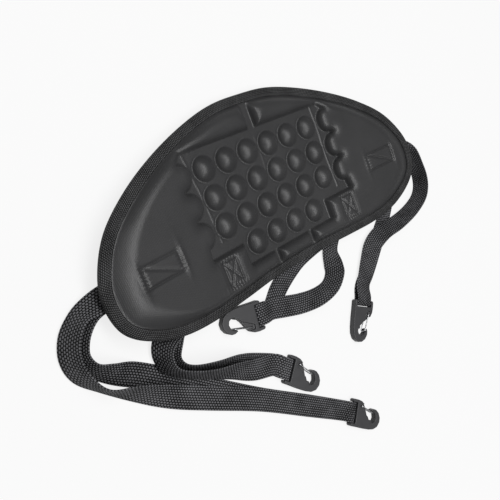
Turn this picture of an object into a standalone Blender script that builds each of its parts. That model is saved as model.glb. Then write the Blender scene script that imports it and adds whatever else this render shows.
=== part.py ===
"""Kayak backrest: a moulded foam panel with a bound edge, lying on its back.

Four webbing straps are sewn to the back of the panel. Each runs out to a plastic
snap hook with a sprung wire gate, round the hook's bar and back to the panel.
Metres, +Z up. The origin is the middle of the webbing across the back, on the floor that
the seat lies on. +X runs along the panel, +Y points to its top edge and +Z comes out of the
moulded face. The shapes are drawn about the middle of the panel's rear face first.
"""

import math

import bpy
import bmesh
import numpy as np
from mathutils import Matrix, Vector
from mathutils.geometry import delaunay_2d_cdt

MM = 0.001

# Panel outline and curve
PANEL_HALF_LENGTH = 241.0 * MM
PANEL_TOP = 110.0 * MM
PANEL_BOTTOM = 99.5 * MM
BEND_RADIUS = 1530.0 * MM
GAP = 0.3 * MM

# Right half of the outline, from the top middle to the bottom middle. The first number is a
# share of the half length, the second of the height above or below the dome grid's centre.
OUTLINE_SHAPE = [
    (0.0, 1.0), (0.178, 0.979), (0.365, 0.873), (0.56, 0.705), (0.734, 0.5), (0.88, 0.255),
    (0.971, -0.04), (1.0, -0.32), (0.975, -0.6), (0.888, -0.8), (0.747, -0.945),
    (0.58, -1.0), (0.373, -0.99), (0.187, -0.965), (0.0, -0.96),
]
OUTLINE_STEPS = 80
FACET_SPACING = 28.0 * MM
FACET_MARGIN = 8.0 * MM
FACET_CLEARANCE = 9.0 * MM

# Layers of the panel
BACKING_THICKNESS = 2.0 * MM
FLOOR_THICKNESS = 3.2 * MM
RAISED_RISE = 9.0 * MM
RAISED_SHOULDER = 7.4 * MM
SLOPE_WIDTH = 3.6 * MM
SHOULDER_WIDTH = 7.0 * MM

# Domes on the face
DOME_PITCH = 32.0 * MM
DOME_RADIUS = 14.5 * MM
DOME_RISE = 7.2 * MM
DOME_COLUMNS = 6
DOME_ROWS = 3
LOW_ROW_COLUMNS = 4
DOME_SIDES = 14
DOME_RINGS = (0.8, 0.45)

# Raised panels round the dome grid
BORDER_WIDTH = 11.8 * MM
END_BORDER_EXTRA = 6.0 * MM
END_BORDER_START = 0.6 * PANEL_HALF_LENGTH
TOP_CHANNEL_HALF = 6.5 * MM
TOP_BLOCK_CLEARANCE = 7.5 * MM
LOBE_CENTRE_FROM_DOME = 34.0 * MM
LOBE_RADIUS = 15.0 * MM
CUSP_DEPTH = 0.5 * MM
LOBE_ARC = (262.0, 98.0)
LOW_STEP_X = 68.5 * MM
LOW_STEP_CLEARANCE = 11.5 * MM
LOW_BLOCK_CLEARANCE = 4.0 * MM
CHANNEL_INNER_X = 27.0 * MM
CHANNEL_OUTER_X = 31.0 * MM

# Webbing, binding tape and thread
WEB_WIDTH = 25.0 * MM
WEB_THICKNESS = 1.3 * MM
BAND_THICKNESS = 4.0 * MM
BAND_POINTS = 16
TAPE_THICKNESS = 0.8 * MM
TAPE_WIDTH = 11.0 * MM
THREAD = 0.9 * MM

# Stitched boxes: how far out each stands, its height on the panel and its two sides
END_BOX_X = PANEL_HALF_LENGTH - 65.0 * MM
END_BOX_Y = -24.0 * MM
END_BOX_LENGTH = 45.0 * MM
LOW_BOX_X = PANEL_HALF_LENGTH - 142.0 * MM
LOW_BOX_Y = -62.0 * MM
LOW_BOX_WIDTH = 19.0 * MM
BOX_EDGE_MARGIN = 2.0 * MM
TAIL = 3.0 * MM
END_LEAD = 20.0 * MM
POCKET_DEPTH = 3.0 * MM
POCKET_MARGIN = 2.5 * MM
POCKET_SLOPE = 4.5 * MM
LOW_BOX_LENGTH = 27.0 * MM

# Snap hook
HOOK_THICKNESS = 8.0 * MM
HOOK_EDGE = 1.2 * MM
BAR_RADIUS = 2.0 * MM
SLOT_WALL = 4.4 * MM
SLOT_SIDE = 0.6 * MM
EAR_WIDTH = 3.9 * MM
EAR_BACK = 4.0 * MM
GATE_WIRE = 1.4 * MM
GATE_PIVOT = Vector((9.5, 12.7)) * MM
GATE_END = Vector((3.2, 36.6)) * MM
PIVOT_CLEARANCE = 0.4 * MM
GATE_CLEARANCE = 0.1 * MM
GATE_BEND = 1.5 * MM
GATE_TAIL = 0.9 * MM
EAR_ROUNDING = 0.42
CUT_EXCESS = 2.0 * MM

# Hook outline beyond the webbing slot, from the spine's shoulder round the nose and back
# along the throat to the open side. x is towards the open side, as a share of the hook's
# half width, and y is the distance from the bar in millimetres.
HOOK_SHAPE = [
    (-1.024, 8.0), (-1.065, 19.0), (-1.076, 32.0), (-1.018, 40.2), (-0.794, 47.2),
    (-0.412, 50.7), (-0.059, 50.2), (0.271, 46.7), (0.471, 41.2), (0.494, 36.7),
    (0.388, 32.4), (0.300, 33.2), (0.271, 37.0), (0.082, 40.4), (-0.176, 42.0),
    (-0.424, 40.6), (-0.541, 36.8), (-0.529, 33.4), (-0.441, 33.9), (-0.353, 32.4),
    (-0.365, 29.4), (-0.153, 26.8), (0.188, 23.4), (0.512, 20.4), (0.747, 17.2),
    (0.929, 11.6), (0.994, 5.4),
]
# Shallow pocket in both faces that the wires of the gate sweep over
GATE_POCKET = [(12.0, 9.4), (12.6, 20.0), (8.0, 25.4), (-1.8, 29.4), (-1.8, 25.2), (6.8, 9.4)]

FACE_FLOOR = BACKING_THICKNESS + GAP + FLOOR_THICKNESS
LAYER = WEB_THICKNESS + GAP
BOX_SHORT = WEB_WIDTH - 2.0 * BOX_EDGE_MARGIN


def bend(point):
    """Moves a flat point (x, y, height) on to the curved panel."""
    angle = point[0] / BEND_RADIUS
    reach = BEND_RADIUS - point[2]
    return Vector((reach * math.sin(angle), point[1], BEND_RADIUS - reach * math.cos(angle)))


# The band across the back has an even number of points, so that one flat facet lies in the
# middle of its rear face. The seat rests on that facet.
BAND_REACH = END_BOX_X + END_BOX_LENGTH * 0.5
BAND_HALF_STEP = BAND_REACH / (BAND_POINTS - 1)
BAND_MIDDLE = -GAP - BAND_THICKNESS * 0.5
FLOOR_Z = (bend((BAND_HALF_STEP, 0.0, BAND_MIDDLE)).z
           - BAND_THICKNESS * 0.5 * math.cos(BAND_HALF_STEP / BEND_RADIUS))
ORIGIN = Vector((0.0, END_BOX_Y, FLOOR_Z))


def catmull_rom(points, steps, closed):
    """Smooth curve through points given as tuples of equal length."""
    data = np.array(points, float)
    count = len(data)
    spans = count if closed else count - 1
    curve = []
    for i in range(spans):
        if closed:
            a, b, c, d = (data[(i + k) % count] for k in (-1, 0, 1, 2))
        else:
            a, b, c, d = (data[min(max(i + k, 0), count - 1)] for k in (-1, 0, 1, 2))
        for step in range(steps):
            t = step / steps
            curve.append(0.5 * (2 * b + (c - a) * t + (2 * a - 5 * b + 4 * c - d) * t * t
                                + (3 * b - a - 3 * c + d) * t ** 3))
    if not closed:
        curve.append(data[-1])
    return np.array(curve)


def evenly_spaced(curve, count):
    """Closed curve cut into count equal lengths."""
    loop = np.vstack([curve, curve[:1]])
    lengths = np.concatenate([[0.0], np.cumsum(np.linalg.norm(np.diff(loop, axis=0), axis=1))])
    wanted = np.arange(count) * lengths[-1] / count
    return np.stack([np.interp(wanted, lengths, loop[:, k]) for k in range(2)], 1)


def outline():
    """Outer edge of the bound panel, clockwise from the top middle, and its inward normals."""
    half = [(x * PANEL_HALF_LENGTH, y * (PANEL_TOP if y > 0 else PANEL_BOTTOM))
            for x, y in OUTLINE_SHAPE]
    mirrored = [(-x, y) for x, y in reversed(half[1:-1])]
    loop = evenly_spaced(catmull_rom(half + mirrored, 24, True), OUTLINE_STEPS)
    along = np.roll(loop, -1, axis=0) - np.roll(loop, 1, axis=0)
    along /= np.linalg.norm(along, axis=1)[:, None]
    return loop, np.stack([along[:, 1], -along[:, 0]], 1)


EDGE, EDGE_INWARD = outline()


def inset_outline(distance):
    """The outline moved inward by a distance."""
    return EDGE + EDGE_INWARD * distance


def border_line():
    """Foot of the raised panels' outer slope, further from the edge at the panel's two ends."""
    share = (np.abs(EDGE[:, :1]) - END_BORDER_START) / (PANEL_HALF_LENGTH - END_BORDER_START)
    return inset_outline(BORDER_WIDTH + END_BORDER_EXTRA * np.clip(share, 0.0, 1.0))


def distance_to_loop(points, loop):
    """Distance of each point to a closed loop, positive inside it."""
    start = np.array(loop)
    side = np.roll(start, -1, axis=0) - start
    offset = points[:, None, :] - start[None]
    share = np.clip((offset * side).sum(2) / (side * side).sum(1), 0.0, 1.0)
    nearest = np.linalg.norm(offset - share[..., None] * side, axis=2).min(1)
    above = start[:, 1][None] > points[:, 1][:, None]
    crossing = above != np.roll(above, -1, axis=1)
    slope = np.where(np.abs(side[:, 1]) < 1e-12, 1e-12, side[:, 1])
    reach = start[:, 0] + (points[:, 1][:, None] - start[:, 1]) * side[:, 0] / slope
    inside = (crossing & (points[:, 0][:, None] < reach)).sum(1) % 2 == 1
    return np.where(inside, nearest, -nearest)


def arc(centre, radius, start, end, steps):
    """Points on an arc, angles in degrees."""
    angles = np.radians(np.linspace(start, end, steps + 1))
    return [(centre[0] + radius * math.cos(a), centre[1] + radius * math.sin(a)) for a in angles]


def round_corners(loop, radius, corners):
    """Replaces the listed corners of a loop by short arcs of three points."""
    rounded = []
    count = len(loop)
    for i, point in enumerate(loop):
        here = Vector(point)
        if i not in corners:
            rounded.append(tuple(here))
            continue
        before = (Vector(loop[i - 1]) - here).normalized() * radius
        after = (Vector(loop[(i + 1) % count]) - here).normalized() * radius
        rounded += [tuple(here + before), tuple(here + (before + after) * 0.3), tuple(here + after)]
    return rounded


def row_height(row):
    """Height of a row of domes on the panel, counted down from the top row."""
    return (DOME_ROWS * 0.5 - row) * DOME_PITCH


TOP_BLOCK_Y = row_height(0) + DOME_RADIUS + TOP_BLOCK_CLEARANCE
SIDE_FOOT_Y = row_height(DOME_ROWS - 1) - DOME_RADIUS - LOW_STEP_CLEARANCE
LOW_BLOCK_Y = row_height(DOME_ROWS) - DOME_RADIUS - LOW_BLOCK_CLEARANCE
LOBE_X = (DOME_COLUMNS - 1) * 0.5 * DOME_PITCH + LOBE_CENTRE_FROM_DOME


def raised_side():
    """Base line of the right raised panel: outer border, then back up round the dome grid."""
    border = border_line()[1:OUTLINE_STEPS // 2]
    outer = [tuple(p) for p in border
             if p[0] > (TOP_CHANNEL_HALF if p[1] > 0 else CHANNEL_OUTER_X) + SLOPE_WIDTH]
    top_y = border[0][1]
    bottom_y = outer[-1][1]
    inner = [(CHANNEL_OUTER_X, bottom_y), (CHANNEL_OUTER_X, LOW_BLOCK_Y),
             (LOW_STEP_X, LOW_BLOCK_Y), (LOW_STEP_X, SIDE_FOOT_Y), (LOBE_X, SIDE_FOOT_Y)]
    for row in reversed(range(DOME_ROWS)):
        inner += arc((LOBE_X, row_height(row)), LOBE_RADIUS, *LOBE_ARC, 8)
        if row > 0:
            inner.append((LOBE_X + CUSP_DEPTH, row_height(row - 0.5)))
    inner += [(LOBE_X - LOBE_RADIUS * 0.6, TOP_BLOCK_Y), (TOP_CHANNEL_HALF, TOP_BLOCK_Y),
              (TOP_CHANNEL_HALF, top_y)]
    loop = outer + inner
    first = len(outer)
    last = len(loop)
    return round_corners(loop, SLOPE_WIDTH, {first, first + 1, first + 2, first + 3, last - 2, last - 1})


def middle_block():
    """Base line of the small raised block at the bottom middle."""
    bottom_y = border_line()[OUTLINE_STEPS // 2][1]
    loop = [(CHANNEL_INNER_X, bottom_y), (CHANNEL_INNER_X, LOW_BLOCK_Y),
            (-CHANNEL_INNER_X, LOW_BLOCK_Y), (-CHANNEL_INNER_X, bottom_y)]
    return round_corners(loop, SLOPE_WIDTH, {0, 1, 2, 3})


def mirrored(loop):
    """The same loop on the other side of the panel."""
    return [(-x, y) for x, y in reversed(loop)]


RAISED_LOOPS = [raised_side(), mirrored(raised_side()), middle_block()]


def stitch_boxes():
    """Centre and half sides of the four stitched boxes, by the strap that each holds."""
    end = (END_BOX_LENGTH * 0.5, BOX_SHORT * 0.5)
    low = (LOW_BOX_WIDTH * 0.5, LOW_BOX_LENGTH * 0.5)
    return {
        "left_end": ((-END_BOX_X, END_BOX_Y), end),
        "left_lower": ((-LOW_BOX_X, LOW_BOX_Y), low),
        "right_lower": ((LOW_BOX_X, LOW_BOX_Y), low),
        "right_end": ((END_BOX_X, END_BOX_Y), end),
    }


def dome_centres():
    """Centres of the domes: a full grid and one shorter row under it."""
    rows = [(row, DOME_COLUMNS) for row in range(DOME_ROWS)] + [(DOME_ROWS, LOW_ROW_COLUMNS)]
    centres = []
    for row, columns in rows:
        for column in range(columns):
            centres.append(((column - (columns - 1) * 0.5) * DOME_PITCH, row_height(row)))
    return centres


def face_height(points):
    """Height of the moulded face above the panel's rear face at flat points."""
    height = np.full(len(points), FACE_FLOOR)
    for loop in RAISED_LOOPS:
        inside = distance_to_loop(points, loop)
        rise = np.interp(inside, [0.0, SLOPE_WIDTH, SHOULDER_WIDTH],
                         [0.0, RAISED_SHOULDER, RAISED_RISE])
        height += rise
    for centre, half in stitch_boxes().values():
        beyond = np.maximum(np.abs(points - centre) - np.array(half) - POCKET_MARGIN, 0.0)
        outside = np.linalg.norm(beyond, axis=1)
        height -= np.interp(outside, [0.0, POCKET_SLOPE], [POCKET_DEPTH, 0.0])
    ball = (DOME_RADIUS ** 2 + DOME_RISE ** 2) / (2.0 * DOME_RISE)
    for centre in dome_centres():
        away = np.linalg.norm(points - centre, axis=1)
        cap = np.sqrt(np.maximum(ball ** 2 - away ** 2, 0.0)) - (ball - DOME_RISE)
        height += np.where(away < DOME_RADIUS, np.maximum(cap, 0.0), 0.0)
    return np.maximum(height, FACE_FLOOR)


def moved_inward(loop, distance):
    """A closed loop with each side moved inward by a distance, corners mitred."""
    data = np.array(loop)
    side = np.roll(data, -1, axis=0) - data
    side /= np.linalg.norm(side, axis=1)[:, None]
    after = np.roll(data, -1, axis=0)
    turns_left = (data[:, 0] * after[:, 1] - data[:, 1] * after[:, 0]).sum() > 0.0
    normal = np.stack([-side[:, 1], side[:, 0]], 1) * (1.0 if turns_left else -1.0)
    before = np.roll(normal, 1, axis=0)
    return data + (before + normal) / (1.0 + (before * normal).sum(1))[:, None] * distance


def inner_loop(loop, distance):
    """A loop moved inward, without the points that would fold over."""
    moved = moved_inward(loop, distance)
    depth = distance_to_loop(moved, loop)
    return [tuple(p) for p, d in zip(moved, depth) if d > distance * 0.93]


def material(name, colour, roughness, metallic=0.0):
    """Principled material of one colour."""
    made = bpy.data.materials.new(name)
    made.use_nodes = True
    shader = made.node_tree.nodes["Principled BSDF"]
    shader.inputs["Base Color"].default_value = (*colour, 1.0)
    shader.inputs["Roughness"].default_value = roughness
    shader.inputs["Metallic"].default_value = metallic
    made.diffuse_color = (*colour, 1.0)
    return made


def add_object(name, data, finish):
    """Puts a mesh or curve in the scene with its own material."""
    made = bpy.data.objects.new(name, data)
    bpy.context.scene.collection.objects.link(made)
    if not data.materials:
        data.materials.append(material(name, *finish))
    return made


def mesh_from(name, vertices, faces):
    """Closed mesh with its faces pointing out."""
    shape = bmesh.new()
    points = [shape.verts.new(v) for v in vertices]
    for face in faces:
        shape.faces.new([points[i] for i in face])
    bmesh.ops.recalc_face_normals(shape, faces=shape.faces)
    data = bpy.data.meshes.new(name)
    shape.to_mesh(data)
    shape.free()
    return data


def triangulate(loops, loose):
    """Triangles of the area inside the first loop that keep every loop as an edge."""
    points = []
    edges = []
    for loop in loops:
        first = len(points)
        points += [Vector(p) for p in loop]
        edges += [(first + i, first + (i + 1) % len(loop)) for i in range(len(loop))]
    points += [Vector(p) for p in loose]
    corners, _, faces, *_ = delaunay_2d_cdt(points, edges, [], 1, 1e-7)
    return np.array([tuple(c) for c in corners]), faces


def inner_grid(loop, step, margin):
    """Grid points inside a loop that keep a margin to it."""
    xs = np.arange(-math.ceil(PANEL_HALF_LENGTH / step), math.ceil(PANEL_HALF_LENGTH / step) + 1)
    ys = np.arange(-math.ceil(PANEL_BOTTOM / step), math.ceil(PANEL_TOP / step) + 1)
    grid = np.array([(x * step + step * 0.5, y * step) for x in xs for y in ys])
    return grid[distance_to_loop(grid, loop) > margin]


def stacked(plan_low, height_low, plan_high, height_high, rim):
    """Vertices and faces of a solid between two plans that share one rim."""
    vertices = []
    faces = []
    rims = []
    for plan, height in ((plan_low, height_low), (plan_high, height_high)):
        corners, triangles = plan
        first = len(vertices)
        vertices += [bend((x, y, z)) for (x, y), z in zip(corners, height(corners))]
        faces += [[first + i for i in triangle] for triangle in triangles]
        rims.append([first + int(np.argmin(np.linalg.norm(corners - p, axis=1))) for p in rim])
    count = len(rim)
    for i in range(count):
        j = (i + 1) % count
        faces.append([rims[0][i], rims[0][j], rims[1][j], rims[1][i]])
    return vertices, faces


def level(height):
    """A height that is the same at every point."""
    return lambda corners: np.full(len(corners), height)


def panels():
    """The moulded foam face and the flat backing behind it."""
    rim = inset_outline(TAPE_THICKNESS + GAP)
    facets = inner_grid(rim, FACET_SPACING, FACET_MARGIN)
    flat = triangulate([rim], facets)
    backing = mesh_from("back_panel", *stacked(flat, level(0.0), flat, level(BACKING_THICKNESS), rim))
    add_object("back_panel", backing, ((0.035, 0.035, 0.037), 0.85))

    loops = [rim]
    for loop in RAISED_LOOPS:
        loops += [loop, inner_loop(loop, SLOPE_WIDTH), inner_loop(loop, SHOULDER_WIDTH)]
    loops = [loop for loop in loops if len(loop) > 2]
    for centre, half in stitch_boxes().values():
        for margin in (POCKET_MARGIN, POCKET_MARGIN + POCKET_SLOPE):
            x, y = half[0] + margin, half[1] + margin
            loops.append([(centre[0] + sx * x, centre[1] + sy * y)
                          for sx, sy in ((-1, -1), (1, -1), (1, 1), (-1, 1))])
    ridge = CHANNEL_INNER_X - SHOULDER_WIDTH
    middle = (LOW_BLOCK_Y + border_line()[OUTLINE_STEPS // 2][1]) * 0.5
    loose = [(x, middle) for x in np.linspace(-ridge, ridge, 5)]
    for centre in dome_centres():
        loops.append(arc(centre, DOME_RADIUS, 0, 360, DOME_SIDES)[:-1])
        turn = 180.0 / DOME_SIDES
        loose += arc(centre, DOME_RADIUS * DOME_RINGS[0], turn, 360 + turn, DOME_SIDES)[:-1]
        loose += arc(centre, DOME_RADIUS * DOME_RINGS[1], 0, 360, DOME_SIDES // 2)[:-1]
        loose.append(centre)
    drawn = np.vstack([np.array(loop) for loop in loops] + [np.array(loose)])
    for point in facets:
        if np.linalg.norm(drawn - point, axis=1).min() > FACET_CLEARANCE:
            loose.append(tuple(point))
    face = triangulate(loops, loose)
    foam = mesh_from("front_panel", *stacked(
        flat, level(BACKING_THICKNESS + GAP), face, face_height, rim))
    add_object("front_panel", foam, ((0.06, 0.06, 0.062), 0.9))


def edge_binding():
    """Woven tape folded round the edge of both panels."""
    low = -GAP - TAPE_THICKNESS
    high = FACE_FLOOR + GAP + TAPE_THICKNESS
    fold = TAPE_THICKNESS * 1.3
    section = [
        (TAPE_WIDTH, FACE_FLOOR + GAP), (TAPE_THICKNESS, FACE_FLOOR + GAP),
        (TAPE_THICKNESS, -GAP), (TAPE_WIDTH, -GAP),
        (TAPE_WIDTH, low), (fold, low), (0.0, low + fold),
        (0.0, high - fold), (fold, high), (TAPE_WIDTH, high),
    ]
    vertices = [bend((*(EDGE[i] + EDGE_INWARD[i] * depth), height))
                for i in range(OUTLINE_STEPS) for depth, height in section]
    size = len(section)
    faces = []
    for i in range(OUTLINE_STEPS):
        j = (i + 1) % OUTLINE_STEPS
        for k in range(size):
            m = (k + 1) % size
            faces.append([i * size + k, i * size + m, j * size + m, j * size + k])
    add_object("edge_binding", mesh_from("edge_binding", vertices, faces),
               ((0.045, 0.045, 0.047), 0.8))


def sweep_ribbon(centres, sides, width, thickness):
    """Vertices and faces of a flat band along centres, with its width along sides."""
    centres = [Vector(c) for c in centres]
    vertices = []
    count = len(centres)
    for i, centre in enumerate(centres):
        along = (centres[min(i + 1, count - 1)] - centres[max(i - 1, 0)]).normalized()
        side = Vector(sides[i]).normalized() * width * 0.5
        up = along.cross(side).normalized() * thickness * 0.5
        vertices += [centre - side - up, centre + side - up, centre + side + up, centre - side + up]
    faces = [[0, 1, 2, 3], [4 * count - 1, 4 * count - 2, 4 * count - 3, 4 * count - 4]]
    around = [(0, 1, 5), (0, 5, 4), (2, 3, 6), (3, 7, 6), (1, 2, 6, 5), (3, 0, 4, 7)]
    faces += [[4 * i + corner for corner in face] for i in range(count - 1) for face in around]
    return vertices, faces


def back_band():
    """Doubled webbing across the back between the two end boxes."""
    xs = np.linspace(-BAND_REACH, BAND_REACH, BAND_POINTS)
    centres = [bend((x, END_BOX_Y, BAND_MIDDLE)) for x in xs]
    data = mesh_from("back_band", *sweep_ribbon(centres, [(0, 1, 0)] * len(xs), WEB_WIDTH, BAND_THICKNESS))
    add_object("back_band", data, ((0.02, 0.02, 0.021), 0.8))


# Each strap: the point of the panel that its route is measured from, in metres. Then, in
# millimetres from that point, the bar of its hook and the hook's heading in degrees, and the
# route out to the hook and the route back. A route's row is x, y, the band's lean in degrees
# and its lift above the floor.
STRAPS = {
    "left_end": {
        "from": (-PANEL_HALF_LENGTH, END_BOX_Y), "bar": (239, -282), "heading": -40.5,
        "out": [(-2, -2, 38, 4), (-19, -6, 60, 1.5), (-33, -19, 56, 1.5), (-40, -37, 54, 1.5),
                (-38, -56, 60, 1), (-25, -77, 76, 0), (1, -97, 45, 1), (35, -124, 12, 3),
                (71, -150, 0, 3), (126, -189, 0, 3), (181, -234, 0, 3)],
        "back": [(-2, -5, 38, 0), (-14, -12, 60, 0), (-26, -24, 57, 0), (-32, -39, 55, 0),
                 (-27, -54, 56, 0), (-13, -67, 36, 0), (9, -83, 4, 0), (38, -108, 0, 0),
                 (78, -145, 0, 0), (126, -188, 0, 0), (181, -233, 0, 0)],
    },
    "left_lower": {
        "from": (-LOW_BOX_X, -PANEL_BOTTOM), "bar": (30, -102), "heading": -45.0,
        "out": [(-2, 31.5, -3, 5.0), (-7, 23.5, -2, 4.3), (-14, 18.5, 0, 3.7), (-23, 16, 0, 3.3),
                (-36, 15, 0, 3), (-56, 15, 2, 3), (-79, 14, 14, 3.8), (-97, 9, 40, 3.8),
                (-106, -3, 60, 3.6), (-104, -19, 68, 3.4), (-89, -33, 66, 3.2), (-64, -48, 58, 2.5),
                (-38, -61, 38, 2.6), (-12, -76, 10, 3.6)],
        "back": [(-2, 31.5, -3, 3.0), (-7, 23.5, -2, 1.8), (-14, 18.5, 0, 0.8), (-23, 16, 0, 0.2),
                 (-36, 15, 0, 0), (-56, 15, 2, 0), (-76, 12, 9, 0), (-90, 3, 34, 0),
                 (-98, -8, 58, 1), (-95, -20, 66, 1.5), (-82, -31, 64, 1.5), (-58, -43, 54, 1),
                 (-32, -56, 32, 0), (-9, -71, 8, 0)],
    },
    "right_lower": {
        "from": (LOW_BOX_X, -PANEL_BOTTOM), "bar": (-179, -25), "heading": 171.0,
        "out": [(-2, 31, 3, 5.0), (-8, 23, 2, 4.0), (-17, 16, 0, 3.0), (-30, 8, 0, 2.1),
                (-42, -6, 4, 2.0), (-50, -22, 34, 1.6), (-57, -33, 62, 0.6), (-70, -43, 58, 0),
                (-92, -46, 38, 0), (-117, -42, 20, 0.5), (-141, -34, 6, 2.5)],
        "back": [(-2, 31, 3, 3.0), (-8, 23, 2, 1.6), (-19, 17, 0, 0.5), (-37, 13, 0, 0),
                 (-64, 11, 0, 0), (-94, 6, 0, 0), (-120, -4, 0, 0), (-140, -15, 0, 0)],
    },
    "right_end": {
        "from": (PANEL_HALF_LENGTH, END_BOX_Y), "bar": (-162, -168), "heading": -122.0,
        "out": [(3, -5, 40, 2.5), (16, -16, 75, 1), (23, -36, 88, 0), (24, -56, 88, 0),
                (17, -73, 84, 0), (1, -84, 74, 1), (-28, -92, 62, 2.5), (-61, -96, 50, 3),
                (-90, -97, 38, 3), (-113, -106, 22, 3), (-128, -122, 8, 3), (-141, -138, 0, 3)],
        "back": [(-34, -6, -10, 3), (-25, -21, -25, 0), (-28, -39, -30, 0), (-41, -58, -22, 0),
                 (-61, -79, -6, 0), (-83, -98, 0, 0), (-109, -120, 0, 0), (-131, -137, 0, 0)],
    },
}
APPROACH = 22.0 * MM
BAR_APPROACH = 9.0 * MM
LOOSE = 1.2 * MM
LEAST_STEP = 1.0 * MM


def heading_of(name):
    """Direction from a hook's bar to its nose."""
    angle = math.radians(STRAPS[name]["heading"])
    return Vector((math.cos(angle), math.sin(angle), 0.0))


def bar_of(name):
    """Middle of a hook's bar."""
    start = STRAPS[name]["from"]
    x, y = STRAPS[name]["bar"]
    return Vector((start[0] + x * MM, start[1] + y * MM, FLOOR_Z + HOOK_THICKNESS * 0.5))


def sewn_run(name, layer):
    """Rows x, y, z and lean of the webbing where it is sewn to the back of the panel."""
    (x, y), half = stitch_boxes()[name]
    depth = GAP + WEB_THICKNESS * 0.5 + layer * LAYER
    if half[0] > half[1]:
        depth += GAP + BAND_THICKNESS
        sign = math.copysign(1.0, x)
        reach = [-half[0] - TAIL, 0.0, half[0], half[0] + END_LEAD]
        if name == "right_end" and layer:
            reach = [-half[0] - TAIL, -half[0] * 0.4, half[0] * 0.4]
        drops = [0.0, 0.0, 0.0, LOOSE * layer]
        places = [(x + sign * r, y, drop) for r, drop in zip(reach, drops)]
        lean = 0.0
    else:
        places = [(x, y + half[1] + TAIL, 0.0), (x, y + half[1] * 0.2, 0.0)]
        lean = x / BEND_RADIUS
    return [(*bend((px, py, -depth - drop)), lean) for px, py, drop in places]


def rise(lean):
    """How high the middle of the webbing stands over the floor when it leans."""
    return WEB_WIDTH * 0.5 * abs(math.sin(lean)) + WEB_THICKNESS * 0.5 * abs(math.cos(lean))


def free_run(name, key):
    """Rows x, y, z and lean of one loose run, from the panel to just behind the hook's bar."""
    start = STRAPS[name]["from"]
    rows = []
    for x, y, degrees, lift in STRAPS[name][key]:
        lean = math.radians(degrees)
        rows.append((start[0] + x * MM, start[1] + y * MM, FLOOR_Z + lift * MM + rise(lean), lean))
    layer = 1.0 if key == "out" else 0.0
    bar = bar_of(name)
    far = bar - heading_of(name) * APPROACH
    near = bar - heading_of(name) * BAR_APPROACH
    wrap = BAR_RADIUS + GAP + WEB_THICKNESS * 0.5
    low = FLOOR_Z + WEB_THICKNESS * 0.5
    rows.append((far.x, far.y, low + layer * (LAYER + LOOSE), 0.0))
    rows.append((near.x, near.y, bar.z + (2.0 * layer - 1.0) * wrap, 0.0))
    rows.append((bar.x, bar.y, bar.z + (2.0 * layer - 1.0) * wrap, 0.0))
    return rows


def smooth(rows):
    """Smooth curve through rows as centres and sides of a band, thinned where it runs straight."""
    steps = 12
    dense = catmull_rom(rows, steps, False)
    along = np.gradient(dense[:, :3], axis=0)
    kept = []
    for i, (row, step) in enumerate(zip(dense, along)):
        left = Vector((-step[1], step[0], 0.0)).normalized()
        side = left * math.cos(row[3]) + Vector((0.0, 0.0, math.sin(row[3])))
        centre = Vector((row[0], row[1], max(row[2], FLOOR_Z + rise(row[3]))))
        if kept:
            passed = centre - kept[-1][0]
            swing = (side - kept[-1][1]) * WEB_WIDTH * 0.5
            ahead = Vector(step).normalized()
            least = passed.dot(ahead) - abs(swing.dot(ahead))
            turn = Vector(step).angle(kept[-1][2]) + side.angle(kept[-1][1])
            wanted = i % steps == 0 or (passed.length > 3 * MM and turn > math.radians(12))
            if not wanted or (least < LEAST_STEP and i < len(dense) - 1):
                continue
        kept.append((centre, side, Vector(step)))
    return [(centre, side) for centre, side, _ in kept]


def strap(name):
    """One length of webbing: sewn end, run to the hook, turn round its bar, run back."""
    heading = heading_of(name)
    left = Vector((-heading.y, heading.x, 0.0))
    up = Vector((0.0, 0.0, 1.0))
    wrap = BAR_RADIUS + GAP + WEB_THICKNESS * 0.5
    turn = [(bar_of(name) + (heading * math.sin(a) + up * math.cos(a)) * wrap, left)
            for a in np.radians(np.linspace(0, 180, 9))]
    out = smooth(sewn_run(name, 0) + free_run(name, "out"))
    back = smooth(sewn_run(name, 1) + free_run(name, "back"))
    path = out[:-1] + turn + back[-2::-1]
    data = mesh_from(f"strap_{name}", *sweep_ribbon(
        [centre for centre, _ in path], [side for _, side in path], WEB_WIDTH, WEB_THICKNESS))
    add_object(f"strap_{name}", data, ((0.018, 0.018, 0.019), 0.75))


def prism(name, loop, low, high, edge):
    """A loop extruded upward, with its two rims chamfered by edge."""
    rings = [(edge, low), (0.0, low + edge), (0.0, high - edge), (edge, high)] if edge else [
        (0.0, low), (0.0, high)]
    vertices = [(*p, z) for inset, z in rings for p in moved_inward(loop, inset)]
    count = len(loop)
    faces = [list(range(count)), list(range((len(rings) - 1) * count, len(rings) * count))]
    for ring in range(len(rings) - 1):
        for i in range(count):
            j = (i + 1) % count
            faces.append([ring * count + i, ring * count + j,
                          (ring + 1) * count + j, (ring + 1) * count + i])
    return mesh_from(name, vertices, faces)


def cylinder(name, radius, length, sides, axis):
    """A cylinder about the origin along X or Z."""
    shape = bmesh.new()
    bmesh.ops.create_cone(shape, cap_ends=True, segments=sides, radius1=radius, radius2=radius,
                          depth=length)
    if axis == "X":
        bmesh.ops.rotate(shape, verts=shape.verts, cent=(0, 0, 0),
                         matrix=Matrix.Rotation(math.pi / 2, 3, "Y"))
    data = bpy.data.meshes.new(name)
    shape.to_mesh(data)
    shape.free()
    return data


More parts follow.
